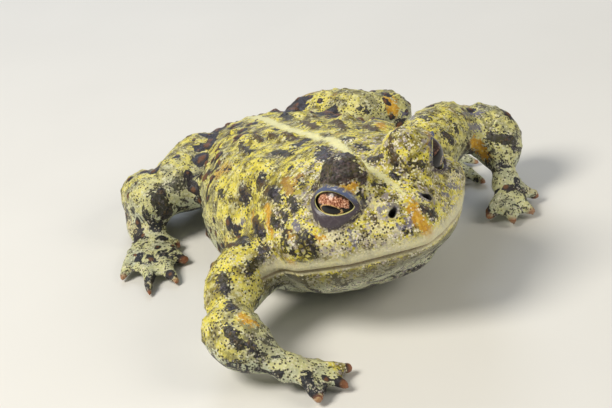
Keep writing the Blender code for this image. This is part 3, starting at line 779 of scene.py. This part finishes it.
def mark_gap(points, skin, marks):
    """How far each point is from the nearest of the markings, less than 0 inside one."""
    gap = np.full(len(points), MARK_REACH)
    for x, y, end_x, end_y, half in marks:
        spread = FLANK_SPREAD if x < FLANK_PIXEL else FACE_SPREAD
        radius = max(THINNEST_MARK, half / PIXELS_PER_MM * spread)
        ends = seen_place(skin, x, y), seen_place(skin, end_x, end_y)
        gap = np.minimum(gap, segment_gap(points, *ends)[0] - radius)
    return gap


def stripe_distance(points, normals):
    """How far each point is from the stripe down the middle of the back, less than 0 inside it."""
    gap = np.full(len(points), STRIPE_REACH)
    for (ax, ay, a_half), (bx, by, b_half) in zip(STRIPE_PATH, STRIPE_PATH[1:]):
        away, nearest = segment_gap(points * (1.0, 1.0, 0.0), (ax, ay, 0.0), (bx, by, 0.0))
        gap = np.minimum(gap, away - np.interp(nearest[:, 1], (by, ay), (b_half, a_half)))
    return np.where(normals[:, 2] > 0.15, gap, STRIPE_REACH)


def tip_distance(points):
    """How far each point is from the nearest fingertip."""
    tips = [(*tip, DIGIT_REST_HEIGHT) for spread in DIGIT_TIPS.values() for tip in spread]
    return np.min([np.linalg.norm(points - np.array(tip), axis=1) for tip in tips], axis=0)


def point_tree(points, keys):
    """A search tree over some of the points."""
    tree = kdtree.KDTree(len(keys))
    for key in keys:
        tree.insert(points[key], key)
    tree.balance()
    return tree


def scatter(points, keys, spacing, limit, seed):
    """Picks points at random that keep at least the spacing from one another."""
    tree = point_tree(points, keys)
    order = list(keys)
    random.Random(seed).shuffle(order)
    taken = set()
    chosen = []
    for key in order:
        if key in taken:
            continue
        chosen.append(key)
        taken.update(other for _, other, _ in tree.find_range(points[key], spacing))
        if len(chosen) >= limit:
            break
    return chosen


def skin_warts(points, normals, body, crown):
    """Every wart: its centre, direction out, radius, stretch, height and darkness."""
    draw = random.Random(21)
    warts = [(*wart, CAD_WART_HEIGHT * wart[2], draw.choice((1.0, 1.0, 0.6))) for wart in cad_warts()]
    for key in scatter(points, body, *BODY_WARTS):
        radius = draw.uniform(*BODY_WART_RADIUS)
        shade = draw.choice((0.0, 0.0, 0.5, 0.85))
        stretch = draw.uniform(1.0, 1.3)
        place = Vector(points[key]), Vector(normals[key])
        warts.append((*place, radius, stretch, BODY_WART_HEIGHT * radius, shade))
    for key in scatter(points, crown, *CROWN_WARTS):
        radius = draw.uniform(*CROWN_WART_RADIUS)
        place = Vector(points[key]), Vector(normals[key])
        warts.append((*place, radius, 1.0, CROWN_WART_HEIGHT * radius, 0.0))
    return warts


def raise_warts(points, warts, weights):
    """Relief of the warts, longer along the body than across it, their tops, and the dark skin round them."""
    tree = point_tree(points, range(len(points)))
    lift, tops, dark = np.zeros((3, len(points)))
    for centre, outward, radius, stretch, height, darkness in warts:
        heading = (Vector((0.0, 1.0, 0.0)) - outward * outward.y).normalized()
        across = outward.cross(heading)
        for place, index, _ in tree.find_range(centre, radius * stretch * DARK_REACH):
            away = place - centre
            run = away.dot(heading) / stretch
            distance = math.hypot(away.dot(across), run, 0.6 * away.dot(outward)) / radius
            dome = max(0.0, 1.0 - distance * distance) ** 1.5 * weights[index]
            lift[index] += height * dome
            tops[index] = max(tops[index], dome)
            shade = max(0.0, 1.0 - distance / DARK_REACH) * darkness * weights[index]
            dark[index] = max(dark[index], shade)
    return lift, tops, dark


def head_relief(points, side, back, up, on_head):
    """Relief of the lids, brow, mouth, nostrils and eardrums, with the fields that the colours read."""
    mirrored = np.stack((np.abs(side), back, up), axis=1)
    lift = np.zeros(len(points))

    # Lids: bare and puffy round the opening, with a groove outside them and a fold of the brow above
    bag = np.full(len(points), FAR)
    rise = np.zeros(len(points))
    for name, sign in SIDES.items():
        gap, u, v = lid_distance(points, sign)
        width = lid_width(u, v, LID_WIDTHS[name])
        near = gap < FAR
        bag = np.where(near, np.minimum(bag, gap - width), bag)
        rise = np.where(near, v, rise)
        swelling = np.sin(np.pi * np.clip(gap / width, 0.0, 1.0))
        lift += np.where(near, swelling * np.where(v < 0.0, *LID_PUFF), 0.0)
    lift += ridge(bag, LID_GROOVE)
    crease = np.full(len(points), FAR)
    over = np.zeros(len(points))
    for start, end in zip(BROW_CREASE, BROW_CREASE[1:]):
        gap, nearest = segment_gap(mirrored, start, end)
        over = np.where(gap < crease, up - nearest[:, 2], over)
        crease = np.minimum(crease, gap)
    lift += ridge(crease, BROW_GROOVE) + ridge(crease, BROW_FOLD) * smooth_step(-0.1, 0.3, over)

    # Mouth: a groove under a fuller upper lip
    above = up - np.array([interpolate(MOUTH_LINE, value) for value in back])
    mouth = sum(ridge(above, profile) for profile in (MOUTH_GROOVE, UPPER_LIP, LOWER_LIP))
    lift += mouth * smooth_step(22.0, 19.5, back) * on_head
    lip = np.where(on_head & (np.abs(above) < 4.0), above, FAR)

    # Nostrils: a low rim round a deep slit
    pit = segment_gap(mirrored, *NOSTRIL_SLIT)[0]
    lift += ridge(pit, NOSTRIL_RIM) - NOSTRIL_DEPTH * smooth_step(0.5, 0.1, pit)

    # Eardrums: a low rim round a sunken disc
    drum = np.linalg.norm(mirrored - np.array(EARDRUM), axis=1)
    lift += ridge(drum, EARDRUM_RIM) - EARDRUM_DEPTH * smooth_step(EARDRUM_RADIUS, EARDRUM_RADIUS - 0.6, drum)
    return lift, {"lid_bag": bag, "lid_rise": rise, "lip_height": lip, "nostril_gap": pit}


def skin_relief(mesh, unevenness):
    """Moves the skin's points by its head's forms, markings and warts, and stores fields for its colours."""
    points = read_vectors(mesh.vertices, "co")
    normals = read_vectors(mesh.vertex_normals, "vector")
    to_head, offset = head_frame()
    side, back, up = (points @ to_head.T - offset).T
    on_head = (back > -1.0) & (back < 22.5) & (np.abs(side) < 19.5) & (up < 14.5)
    lift, fields = head_relief(points, side, back, up, on_head)
    bag, lip, pit = fields["lid_bag"], fields["lip_height"], fields["nostril_gap"]

    # Loose skin: broad unevenness
    broad = unevenness * cloud(points, 6.0, 1) + FINE_UNEVENNESS * cloud(points, 2.2, 2)
    lift += broad * smooth_step(0.2, 1.5, bag)

    # Placed markings: the dark ones ride on low swellings and the brown ones on higher warts
    underside = smooth_step(0.25, 0.75, 0.5 - 0.75 * normals[:, 2] + (6.0 - points[:, 2]) / 16.0)
    rough_zone = smooth_step(0.2, 1.0, bag) * smooth_step(0.9, 1.6, np.abs(lip)) * smooth_step(1.2, 1.8, pit)
    skin = BVHTree.FromPolygons(points.tolist(), [tuple(face.vertices) for face in mesh.polygons])
    marks = {name: mark_gap(points, skin, table) for name, table in MARKS.items()}
    for name, height in MARK_HEIGHTS.items():
        lift += height * smooth_step(0.4, -0.7, marks[name]) * rough_zone
    wild = smooth_step(2.2, 4.2, np.minimum.reduce([marks["dark"], marks["brown"], marks["plum"]]))
    wild *= smooth_step(19.0, 24.0, np.where((np.abs(side) < 19.5) & (up > -14.0), back, 40.0))

    # Warts: those of the body, and the fine ones on top of the head
    flat = underside < 0.6
    body = np.flatnonzero(flat & ((back > 23.0) | (np.abs(side) > 19.0) | (up < -4.0))).tolist()
    crown = np.flatnonzero(flat & on_head & (up > 1.0)).tolist()
    raised, tops, dark = raise_warts(points, skin_warts(points, normals, body, crown), rough_zone)
    moved = points + normals * (lift + raised)[:, None]
    moved[:, 2] = np.maximum(moved[:, 2], 0.0)
    mesh.vertices.foreach_set("co", moved.ravel())
    mesh.update()

    fields |= {
        "wart_top": tops, "wart_dark": dark * wild, "underside": underside, "wild": wild,
        "stripe_gap": stripe_distance(points, normals), "tip_gap": tip_distance(points),
        "on_head": smooth_step(25.0, 20.0, back) * on_head,
    }
    for name, values in (fields | marks).items():
        store(mesh, name, values)


def toad_skin_material():
    """Toad skin: dry, granular and waxy. Fine grains break up its gloss, so only its warts shine."""
    material, tree, place = new_material("toad_skin")
    add = functools.partial(add_node, tree)
    lay = functools.partial(lay_tone, tree)
    field = {name: add("Attribute", output=2, attribute_name=name) for name in (*FIELDS, *MARKS)}
    noise_of = {
        name: add("TexNoise", place, Scale=per_mm(size), Detail=detail, Roughness=rough, Distortion=bend)
        for name, (size, detail, rough, bend) in SKIN_NOISES.items()
    }
    head, wild, bag, lip_height = (field[name] for name in ("on_head", "wild", "lid_bag", "lip_height"))
    grain = add("SeparateColor", add("TexVoronoi", Vector=place, Scale=per_mm(GRAIN_SIZE), output=1))
    fleck = add("TexVoronoi", Vector=place, Scale=per_mm(FLECK_SIZE), output=1)
    fleck = add("SeparateColor", fleck, output=1)
    top = add("MapRange", add("TexVoronoi", Vector=place, Scale=per_mm(GRAIN_SIZE)), 0.62, 0.4, **SOFT)
    ragged = add("Math", noise_of["edge"], 0.5, **MINUS)
    grain_step = add("Math", grain, 0.9, -0.45, **TIMES_PLUS)
    edge = add("Math", ragged, 1.2, grain_step, **TIMES_PLUS)

    def uneven(name, spread=1.0):
        """A distance that the skin's grains make uneven."""
        return add("Math", edge, spread, field[name], **TIMES_PLUS)

    # Ground: olive and lemon yellow in soft patches, and marbled pale green on the hands and underside
    off_head = add("Math", 1.0, head, **MINUS)
    hands = add("MapRange", field["tip_gap"], 21.0, 7.0, 0.0, off_head, **SOFT)
    colour = lay("#7C702C", "#E2D44C", noise_of["ground"], 0.38, 0.6)
    colour = lay(colour, "#EAE4A8", noise_of["cream"], 0.5, 0.66, 0.5)
    colour = lay(colour, "#C08A22", noise_of["gold"], 0.58, 0.68, add("Math", wild, 0.7, **TIMES))
    colour = add("Mix", add("Math", hands, 0.68, **TIMES), colour, "#BFC4A6", **RGBA)
    colour = lay(colour, "#EFE6C2", uneven("pale", 1.3), 0.5, -0.5, 0.62)
    colour = lay(colour, "#23252A", noise_of["marbling"], 0.55, 0.59, hands)
    under = add("Mix", noise_of["under"], "#B9C09C", "#D3D6BC", **RGBA)
    under = lay(under, "#23252A", noise_of["marbling"], 0.52, 0.56)
    colour = lay(colour, under, uneven("underside", 1.1), 0.3, 0.7)

    # Grains: each is cream, dark or lilac, more of them dark in some patches, with sunk skin between them. The
    # cream on their tops is partly their own colour and partly painted glints, and the lilac flecks on the head
    # are painted glints
    dense = add("MapRange", noise_of["dense"], 0.35, 0.7, **SOFT)
    rare = add("Math", grain, add("Math", dense, 0.38, 0.13, **TIMES_PLUS), **MINUS)
    colour = lay(colour, "#2F2822", rare, 0.03, -0.03, add("Math", top, 0.93, **TIMES))
    cluster = add("MapRange", noise_of["cluster"], 0.42, 0.66, **SOFT)
    pale_grain_glint = add("Math", cluster, 0.34, add("Math", head, 0.06, grain, **TIMES_PLUS), **TIMES_PLUS)
    most = add("Math", head, 0.4, 0.4, **TIMES_PLUS)
    calm = add("MapRange", field["net"], -0.6, 0.6, 0.0, most, **SOFT)
    cream = add("Mix", cluster, "#F0EABF", "#F3E9DC", **RGBA)
    gilt = lay("#C08A1A", "#DCAC30", noise_of["spot"], 0.4, 0.65)
    for layer in (
        # Cream grain tops: their own colour and painted glints. Lilac flecks on the head: painted glints
        (cream, pale_grain_glint, 0.86, 0.92, add("Math", top, calm, **TIMES)),
        ("#A79CA6", fleck, 0.8, 0.86, add("Math", head, 0.55, **TIMES)),
        ("#3E3323", noise_of["moss"], 0.55, 0.61, add("Math", dense, 0.8, **TIMES)),
        (gilt, uneven("amber", 1.2), 0.4, -0.2, 0.92),
        ("#A07424", uneven("rust", 0.9), 0.3, -0.2, 0.8),
    ):
        colour = lay(colour, *layer)

    # Blotches: loose ones where none is listed, then those of each kind
    loose = add("Math", noise_of["loose"], 0.5, **MINUS)
    blotch = add("Math", add("Math", field["wart_dark"], 0.5, loose, **TIMES_PLUS), wild, **TIMES)
    blotches = add("MapRange", blotch, 0.12, 0.17, **SOFT)
    colour = add("Mix", blotches, colour, "#2E2A2C", **RGBA)
    dark_mark_and_glint = lay("#0C0B0E", "#2E2A34", noise_of["spot"], 0.42, 0.65)
    # Grey-lilac grain tops inside the dark markings: painted highlights
    dark_mark_and_glint = lay(dark_mark_and_glint, "#645E6C", fleck, 0.78, 0.84, add("Math", top, 0.6, **TIMES))
    dark_mark_and_glint = lay(dark_mark_and_glint, "#6A5230", fleck, 0.2, 0.14, add("Math", top, 0.6, **TIMES))
    plum = lay("#1C171E", "#4E3E42", noise_of["plum"], 0.45, 0.62)
    lattice = add("TexVoronoi", Vector=place, Scale=per_mm(LATTICE_SIZE), feature="DISTANCE_TO_EDGE")
    netted = add("MapRange", uneven("net"), 0.3, -0.3, 0.0, 0.9, **SOFT)
    for layer in (
        ("#6E4A2E", field["wart_top"], 0.25, 0.8, blotches),
        ("#6F6C84", uneven("lavender"), 0.15, -0.1, 0.8),
        ("#332A28", uneven("brown"), 0.4, 0.2, 0.85),
        ("#544020", uneven("brown"), 0.05, -0.3),
        (dark_mark_and_glint, uneven("dark"), 0.12, -0.12, 0.93),
        ("#231F1C", lattice, 0.2, 0.1, netted),
        (plum, uneven("plum"), 0.3, -0.2, 0.93),
    ):
        colour = lay(colour, *layer)

    # Stripe and lips: cream, a brown seam, and a painted shade of olive below the mouth line, under the
    # overhanging lip. Nostrils: a pale rim round a slit painted near black as the shade inside it
    rough_lip = add("Math", grain, 0.9, lip_height, **TIMES_PLUS)
    rough_lip = add("Math", ragged, 1.6, rough_lip, **TIMES_PLUS)
    over_seam = add("MapRange", lip_height, -0.7, -0.2, 0.0, 0.85, **SOFT)
    painted_lip_shade = add("MapRange", rough_lip, -4.0, -2.0, 0.0, add("Math", head, 0.6, **TIMES), **SOFT)
    in_seam = add("MapRange", lip_height, -0.4, -0.1, 0.0, 0.62, **SOFT)
    slit = add("Math", ragged, 0.25, field["nostril_gap"], **TIMES_PLUS)
    for layer in (
        ("#EAE5A8", uneven("stripe_gap", 0.7), 0.3, -0.1, 0.92),
        ("#DDD7B2", rough_lip, 3.1, 1.6, over_seam),
        # Painted shade below the mouth line
        ("#6F6B4E", rough_lip, -0.2, -0.6, painted_lip_shade),
        ("#6B4A38", lip_height, 0.3, 0.0, in_seam),
        ("#8F8C92", slit, 1.0, 0.8, 0.45),
        # Painted shade inside the nostril: the slit painted near black
        ("#0D0B0C", slit, 0.66, 0.46),
    ):
        colour = lay(colour, *layer)

    # Lids: bare violet-grey skin with a painted bluish sheen towards the top, and a thin pale outline.
    # Fingertips: orange brown
    # Painted sheen: the lid skin turns blue towards the top of each eye
    slate_with_sheen = lay("#4F474C", "#5A6482", field["lid_rise"], 0.2, 1.6)
    slate_with_sheen = lay(slate_with_sheen, "#6C6468", noise_of["lid"], 0.5, 0.7, 0.35)
    bare = uneven("lid_bag", 0.6)
    colour = lay(colour, "#A39A86", bag, 0.5, 0.15, 0.5)
    colour = lay(colour, slate_with_sheen, bare, 0.22, -0.22)
    colour = lay(colour, "#A86C48", field["tip_gap"], 2.1, 1.0, 0.8)

    # Gloss and relief: smoother on the lids and on the dark patch behind the eye
    gloss = add("MapRange", noise_of["gloss"], 0.0, 1.0, 0.24, 0.5)
    smooth = add("MapRange", bare, 0.22, -0.22, 1.0, 0.65, **SOFT)
    wet = add("MapRange", uneven("plum"), 0.3, -0.2, 1.0, 0.6, **SOFT)
    rough = add("Math", add("Math", gloss, smooth, **TIMES), wet, **TIMES)
    pores = add("TexVoronoi", Vector=place, Scale=per_mm(GRAIN_SIZE), feature="SMOOTH_F1")
    fine = add("Math", pores, -0.8, noise_of["pore"], **TIMES_PLUS)
    relief = add("Math", fine, add("MapRange", bare, 0.22, -0.22, 1.0, 0.12, **SOFT), **TIMES)
    bump = add("Bump", Strength=0.8, Distance=0.16 * MM, Height=relief)
    return finish_material(material, {
        "Base Color": colour, "Roughness": rough, "Normal": bump, "IOR": WET_SKIN_IOR,
        "Subsurface Weight": 0.08, "Subsurface Radius": (1.0, 0.6, 0.3), "Subsurface Scale": 0.6 * MM,
    })


def lid_margin_material():
    """The bare wet edge of the lids: thin moist skin, so it is pale, smooth and glossy."""
    material, tree, place = new_material("lid_margin")
    tint = add_node(tree, "TexNoise", Vector=place, Scale=per_mm(0.8))
    tint = add_node(tree, "Mix", tint, "#B9B35E", "#E4DEA0", **RGBA)
    gloss = add_node(tree, "TexNoise", Vector=place, Scale=per_mm(0.4))
    rough = add_node(tree, "MapRange", gloss, 0.0, 1.0, 0.2, 0.35)
    return finish_material(material, {"Base Color": tint, "Roughness": rough, "IOR": WET_SKIN_IOR})


def lid_margins():
    """A thin rounded rim along the edge of each pair of lids."""
    shape = bmesh.new()
    count, round_count, reach = 72, 8, EYE_DIAMETER / 2.0 + LID_MARGIN_REACH
    turns = [2.0 * math.pi * step / round_count for step in range(round_count)]
    for sign in SIDES.values():
        centre, gaze, upward, along = eye_axes(sign)
        way = []
        for u, v in opening_outline(sign, count):
            way.append(centre + along * u + upward * v + gaze * math.sqrt(reach ** 2 - u * u - v * v))
        rings = []
        for index, place in enumerate(way):
            run = (way[(index + 1) % count] - way[index - 1]).normalized()
            out = (place - centre).normalized() * LID_MARGIN_RADIUS
            side = run.cross(out).normalized() * LID_MARGIN_RADIUS
            rings.append([shape.verts.new(place + out * math.cos(a) + side * math.sin(a)) for a in turns])
        for index in range(count):
            first, second = rings[index], rings[(index + 1) % count]
            for step in range(round_count):
                after = (step + 1) % round_count
                shape.faces.new((first[step], first[after], second[after], second[step]))
    return new_object("margins", shape)


def join(target, other):
    """Adds the other object's mesh to the target's, with its own material."""
    with bpy.context.temp_override(active_object=target, selected_editable_objects=[target, other]):
        bpy.ops.object.join()


class TOAD_PG_skin(bpy.types.PropertyGroup):
    """Sizes of the skin's relief"""

    grid: bpy.props.FloatProperty(
        name="Grid", description="Width of the skin's faces", default=0.5 * MM, min=0.3 * MM, max=2.0 * MM,
        unit="LENGTH", subtype="DISTANCE",
    )
    crease: bpy.props.FloatProperty(
        name="Crease", description="Radius that fills the creases between the limbs and the body",
        default=1.1 * MM, min=0.0, max=3.0 * MM, unit="LENGTH", subtype="DISTANCE",
    )
    unevenness: bpy.props.FloatProperty(
        name="Unevenness", description="Height of the skin's broad unevenness", default=0.22 * MM, min=0.0,
        max=1.0 * MM, unit="LENGTH", subtype="DISTANCE",
    )


class TOAD_PG_eyes(bpy.types.PropertyGroup):
    """Sizes of the eyes"""

    pupil: bpy.props.FloatProperty(
        name="Pupil", description="Half of the pupil's length", default=1.5 * MM, min=0.2 * MM, max=3.0 * MM,
        unit="LENGTH", subtype="DISTANCE",
    )


class TOAD_PG_stage(bpy.types.PropertyGroup):
    """The studio's camera and lights"""

    azimuth: bpy.props.FloatProperty(
        name="Azimuth", description="The camera's direction round the toad", default=VIEW_AZIMUTH,
        unit="ROTATION", subtype="ANGLE",
    )
    elevation: bpy.props.FloatProperty(
        name="Elevation", description="The camera's height above the horizon", default=VIEW_ELEVATION,
        unit="ROTATION", subtype="ANGLE",
    )
    roll: bpy.props.FloatProperty(
        name="Roll", description="How far the camera leans", default=VIEW_ROLL, unit="ROTATION",
        subtype="ANGLE",
    )
    key: bpy.props.FloatProperty(
        name="Key", description="Power of the largest light", default=0.4, min=0.0, unit="POWER",
    )


class TOAD_OT_skin(bpy.types.Operator):
    """Build the toad's skin over its solids"""

    bl_idname = "toad.skin"
    bl_label = "Build skin"

    def execute(self, context):
        settings = context.scene.toad_skin
        grid = settings.grid / MM
        crease = settings.crease / MM
        skin = skin_forms()
        modify(skin, "REMESH", mode="VOXEL", voxel_size=COARSE_GRID)
        modify(skin, "DISPLACE", direction="NORMAL", mid_level=0.0, strength=crease)
        modify(skin, "REMESH", mode="VOXEL", voxel_size=COARSE_GRID)
        modify(skin, "DISPLACE", direction="NORMAL", mid_level=0.0, strength=-crease)
        modify(skin, "SMOOTH", factor=0.5, iterations=3)
        modify(skin, "REMESH", mode="VOXEL", voxel_size=grid)
        modify(skin, "SMOOTH", factor=0.5, iterations=4)
        refine_front(skin)
        for cutter in [cutter for sign in SIDES.values() for cutter in lid_cutter(sign)]:
            modify(skin, "BOOLEAN", operation="DIFFERENCE", solver="MANIFOLD", object=cutter)
            bpy.data.objects.remove(cutter)
        skin_relief(skin.data, settings.unevenness / MM)
        skin.data.materials.clear()
        skin.data.materials.append(toad_skin_material())
        margins = lid_margins()
        margins.data.materials.append(lid_margin_material())
        join(skin, margins)
        to_metres(skin)
        skin.data.shade_smooth()
        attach(skin, "root")
        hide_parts(*FLESH)
        if len(skin.data.polygons) < 1000:
            raise RuntimeError("the skin has lost its faces")
        return {"FINISHED"}


def eye_material(pupil):
    """A toad's eye: a veined copper iris under a clear wet cornea, so it has a sharp mirror-like coat."""
    material, tree, place = new_material("toad_eye")
    add = functools.partial(add_node, tree)
    lay = functools.partial(lay_tone, tree)
    across, rise, copper = (
        add("Attribute", output=2, attribute_name=name) for name in ("eye_across", "eye_rise", "eye_copper")
    )
    veins = add("TexNoise", Vector=place, Scale=per_mm(0.28), Detail=3.0, Roughness=0.6, Distortion=0.6)
    ragged = add("Math", add("TexNoise", Vector=place, Scale=per_mm(0.6), Detail=3.0), 0.5, **MINUS)
    away = add("Math", across, across, add("Math", rise, rise, **TIMES), **TIMES_PLUS)
    away = add("Math", ragged, 0.8, add("Math", away, operation="SQRT"), **TIMES_PLUS)
    wide = add("Math", across, pupil, operation="DIVIDE")
    tall = add("Math", add("Math", rise, PUPIL_HEIGHT, **MINUS), pupil * PUPIL_FLATNESS, operation="DIVIDE")
    oval = add("Math", wide, wide, add("Math", tall, tall, **TIMES), **TIMES_PLUS)
    veined = add("MapRange", veins, 0.4, 0.55, **SOFT)
    iris = "#743E2A"
    for layer in (
        ("#D89A76", veins, 0.38, 0.62),
        ("#F4D6BC", veins, 0.58, 0.66),
        # Painted shadow of the upper lid: the top of the iris darkened to near black
        ("#1E1210", add("Math", ragged, 0.9, rise, **TIMES_PLUS), 0.7, 1.15, 0.93),
        ("#0A0706", add("Math", ragged, 0.7, copper, **TIMES_PLUS), 0.05, -0.2),
        ("#0C0908", away, 2.35, 2.6),
        ("#D8B070", add("Math", ragged, 0.9, oval, **TIMES_PLUS), 1.7, 1.35, veined),
        ("#040405", oval, 1.15, 1.0),
    ):
        iris = lay(iris, *layer)
    rough = add("MapRange", veins, 0.0, 1.0, 0.25, 0.45)
    bump = add("Bump", Strength=0.3, Distance=0.08 * MM, Height=veins)
    return finish_material(material, {
        "Base Color": iris, "Roughness": rough, "Normal": bump, "Specular IOR Level": 0.15,
        "Coat Weight": 0.8, "Coat Roughness": 0.03, "Coat IOR": CORNEA_IOR,
    })


class TOAD_OT_eyes(bpy.types.Operator):
    """Build both eyeballs"""

    bl_idname = "toad.eyes"
    bl_label = "Build eyes"

    def execute(self, context):
        material = eye_material(context.scene.toad_eyes.pupil / MM)
        for name, sign in SIDES.items():
            centre, gaze, upward, along = eye_axes(sign)
            ball = bmesh.new()
            radius = EYE_DIAMETER / 2.0
            bmesh.ops.create_uvsphere(ball, u_segments=EYE_FACES[0], v_segments=EYE_FACES[1], radius=radius)
            local = [point.co.copy() for point in ball.verts]
            for point in ball.verts:
                x, y, z = point.co
                bulge = 1.0 + CORNEA_BULGE * max(0.0, z / radius) ** 4
                point.co = centre + (along * x + upward * y + gaze * z) * bulge
            eye = new_object(f"eyeball_{name}", ball)
            across, rise, _ = np.array(local).T
            store(eye.data, "eye_across", across)
            store(eye.data, "eye_rise", rise)
            store(eye.data, "eye_copper", rise - COPPER_FROM[sign])
            to_metres(eye)
            eye.data.materials.append(material)
            eye.data.shade_smooth()
            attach(eye, "root")
            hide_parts(f"eye_{name}")
        return {"FINISHED"}


def add_light(name, place, size, power_watts, colour):
    """A round light that shines at the toad."""
    light = bpy.data.lights.new(name, "AREA")
    light.shape = "DISK"
    light.size = size
    light.energy = power_watts
    light.color = linear(colour)[:3]
    made = bpy.data.objects.new(name, light)
    bpy.context.scene.collection.objects.link(made)
    aim = (Vector(LIGHT_AIM) - Vector(place)).to_track_quat("-Z", "Y")
    made.matrix_world = Matrix.Translation(place) @ aim.to_matrix().to_4x4()


class TOAD_OT_stage(bpy.types.Operator):
    """Build the floor, the lights and the camera"""

    bl_idname = "toad.stage"
    bl_label = "Build stage"

    def execute(self, context):
        settings = context.scene.toad_stage
        floor = bmesh.new()
        bmesh.ops.create_grid(floor, x_segments=4, y_segments=4, size=2.0)
        bmesh.ops.translate(floor, verts=floor.verts, vec=(0.0, 0.0, -0.00005))
        made = new_object("studio_floor", floor)
        material, tree, place = new_material("studio_floor")
        tint = add_node(tree, "TexNoise", Vector=place, Scale=per_mm(40.0))
        tint = add_node(tree, "Mix", tint, "#DAD8D2", "#E2E0DA", **RGBA)
        made.data.materials.append(finish_material(material, {"Base Color": tint, "Roughness": 0.8}))
        world = bpy.data.worlds.new("studio")
        world.use_nodes = True
        backdrop = world.node_tree.nodes["Background"]
        backdrop.inputs["Color"].default_value = linear("#E6EAEE")
        backdrop.inputs["Strength"].default_value = SKY_STRENGTH
        context.scene.world = world
        for name, (place, size, power, colour) in LIGHTS.items():
            add_light(name, place, size, settings.key * power, colour)
        camera = bpy.data.objects.new("camera", bpy.data.cameras.new("camera"))
        context.scene.collection.objects.link(camera)
        camera.data.lens = LENS
        camera.data.sensor_width = SENSOR_WIDTH
        camera.data.clip_start = 0.01
        camera.data.dof.use_dof = False
        axes = view_axes(settings.azimuth, settings.elevation, settings.roll)
        pose = Matrix(axes).transposed().to_4x4()
        pose.translation = Vector(VIEW_PLACE) * MM
        camera.matrix_world = pose
        context.scene.camera = camera
        context.scene.view_settings.view_transform = "Standard"
        return {"FINISHED"}


class TOAD_PT_panel(bpy.types.Panel):
    """Builds the toad piece by piece"""

    bl_idname = "TOAD_PT_panel"
    bl_label = "Boreal toad"
    bl_space_type = "VIEW_3D"
    bl_region_type = "UI"
    bl_category = "Toad"

    def draw(self, context):
        for group in GROUPS:
            box = self.layout.box()
            settings = getattr(context.scene, group)
            for name in settings.__annotations__:
                box.prop(settings, name)
            box.operator(group.replace("_", "."))


CLASSES = (
    TOAD_PG_skin, TOAD_PG_eyes, TOAD_PG_stage, TOAD_OT_skin, TOAD_OT_eyes, TOAD_OT_stage, TOAD_PT_panel,
)
GROUPS = {"toad_skin": TOAD_PG_skin, "toad_eyes": TOAD_PG_eyes, "toad_stage": TOAD_PG_stage}


def register():
    for kind in CLASSES:
        bpy.utils.register_class(kind)
    for name, kind in GROUPS.items():
        setattr(bpy.types.Scene, name, bpy.props.PointerProperty(type=kind))


def unregister():
    for name in GROUPS:
        delattr(bpy.types.Scene, name)
    for kind in reversed(CLASSES):
        bpy.utils.unregister_class(kind)


def main():
    register()
    bpy.ops.toad.stage()
    bpy.ops.toad.skin()
    bpy.ops.toad.eyes()


if __name__ == "__main__":
    main()
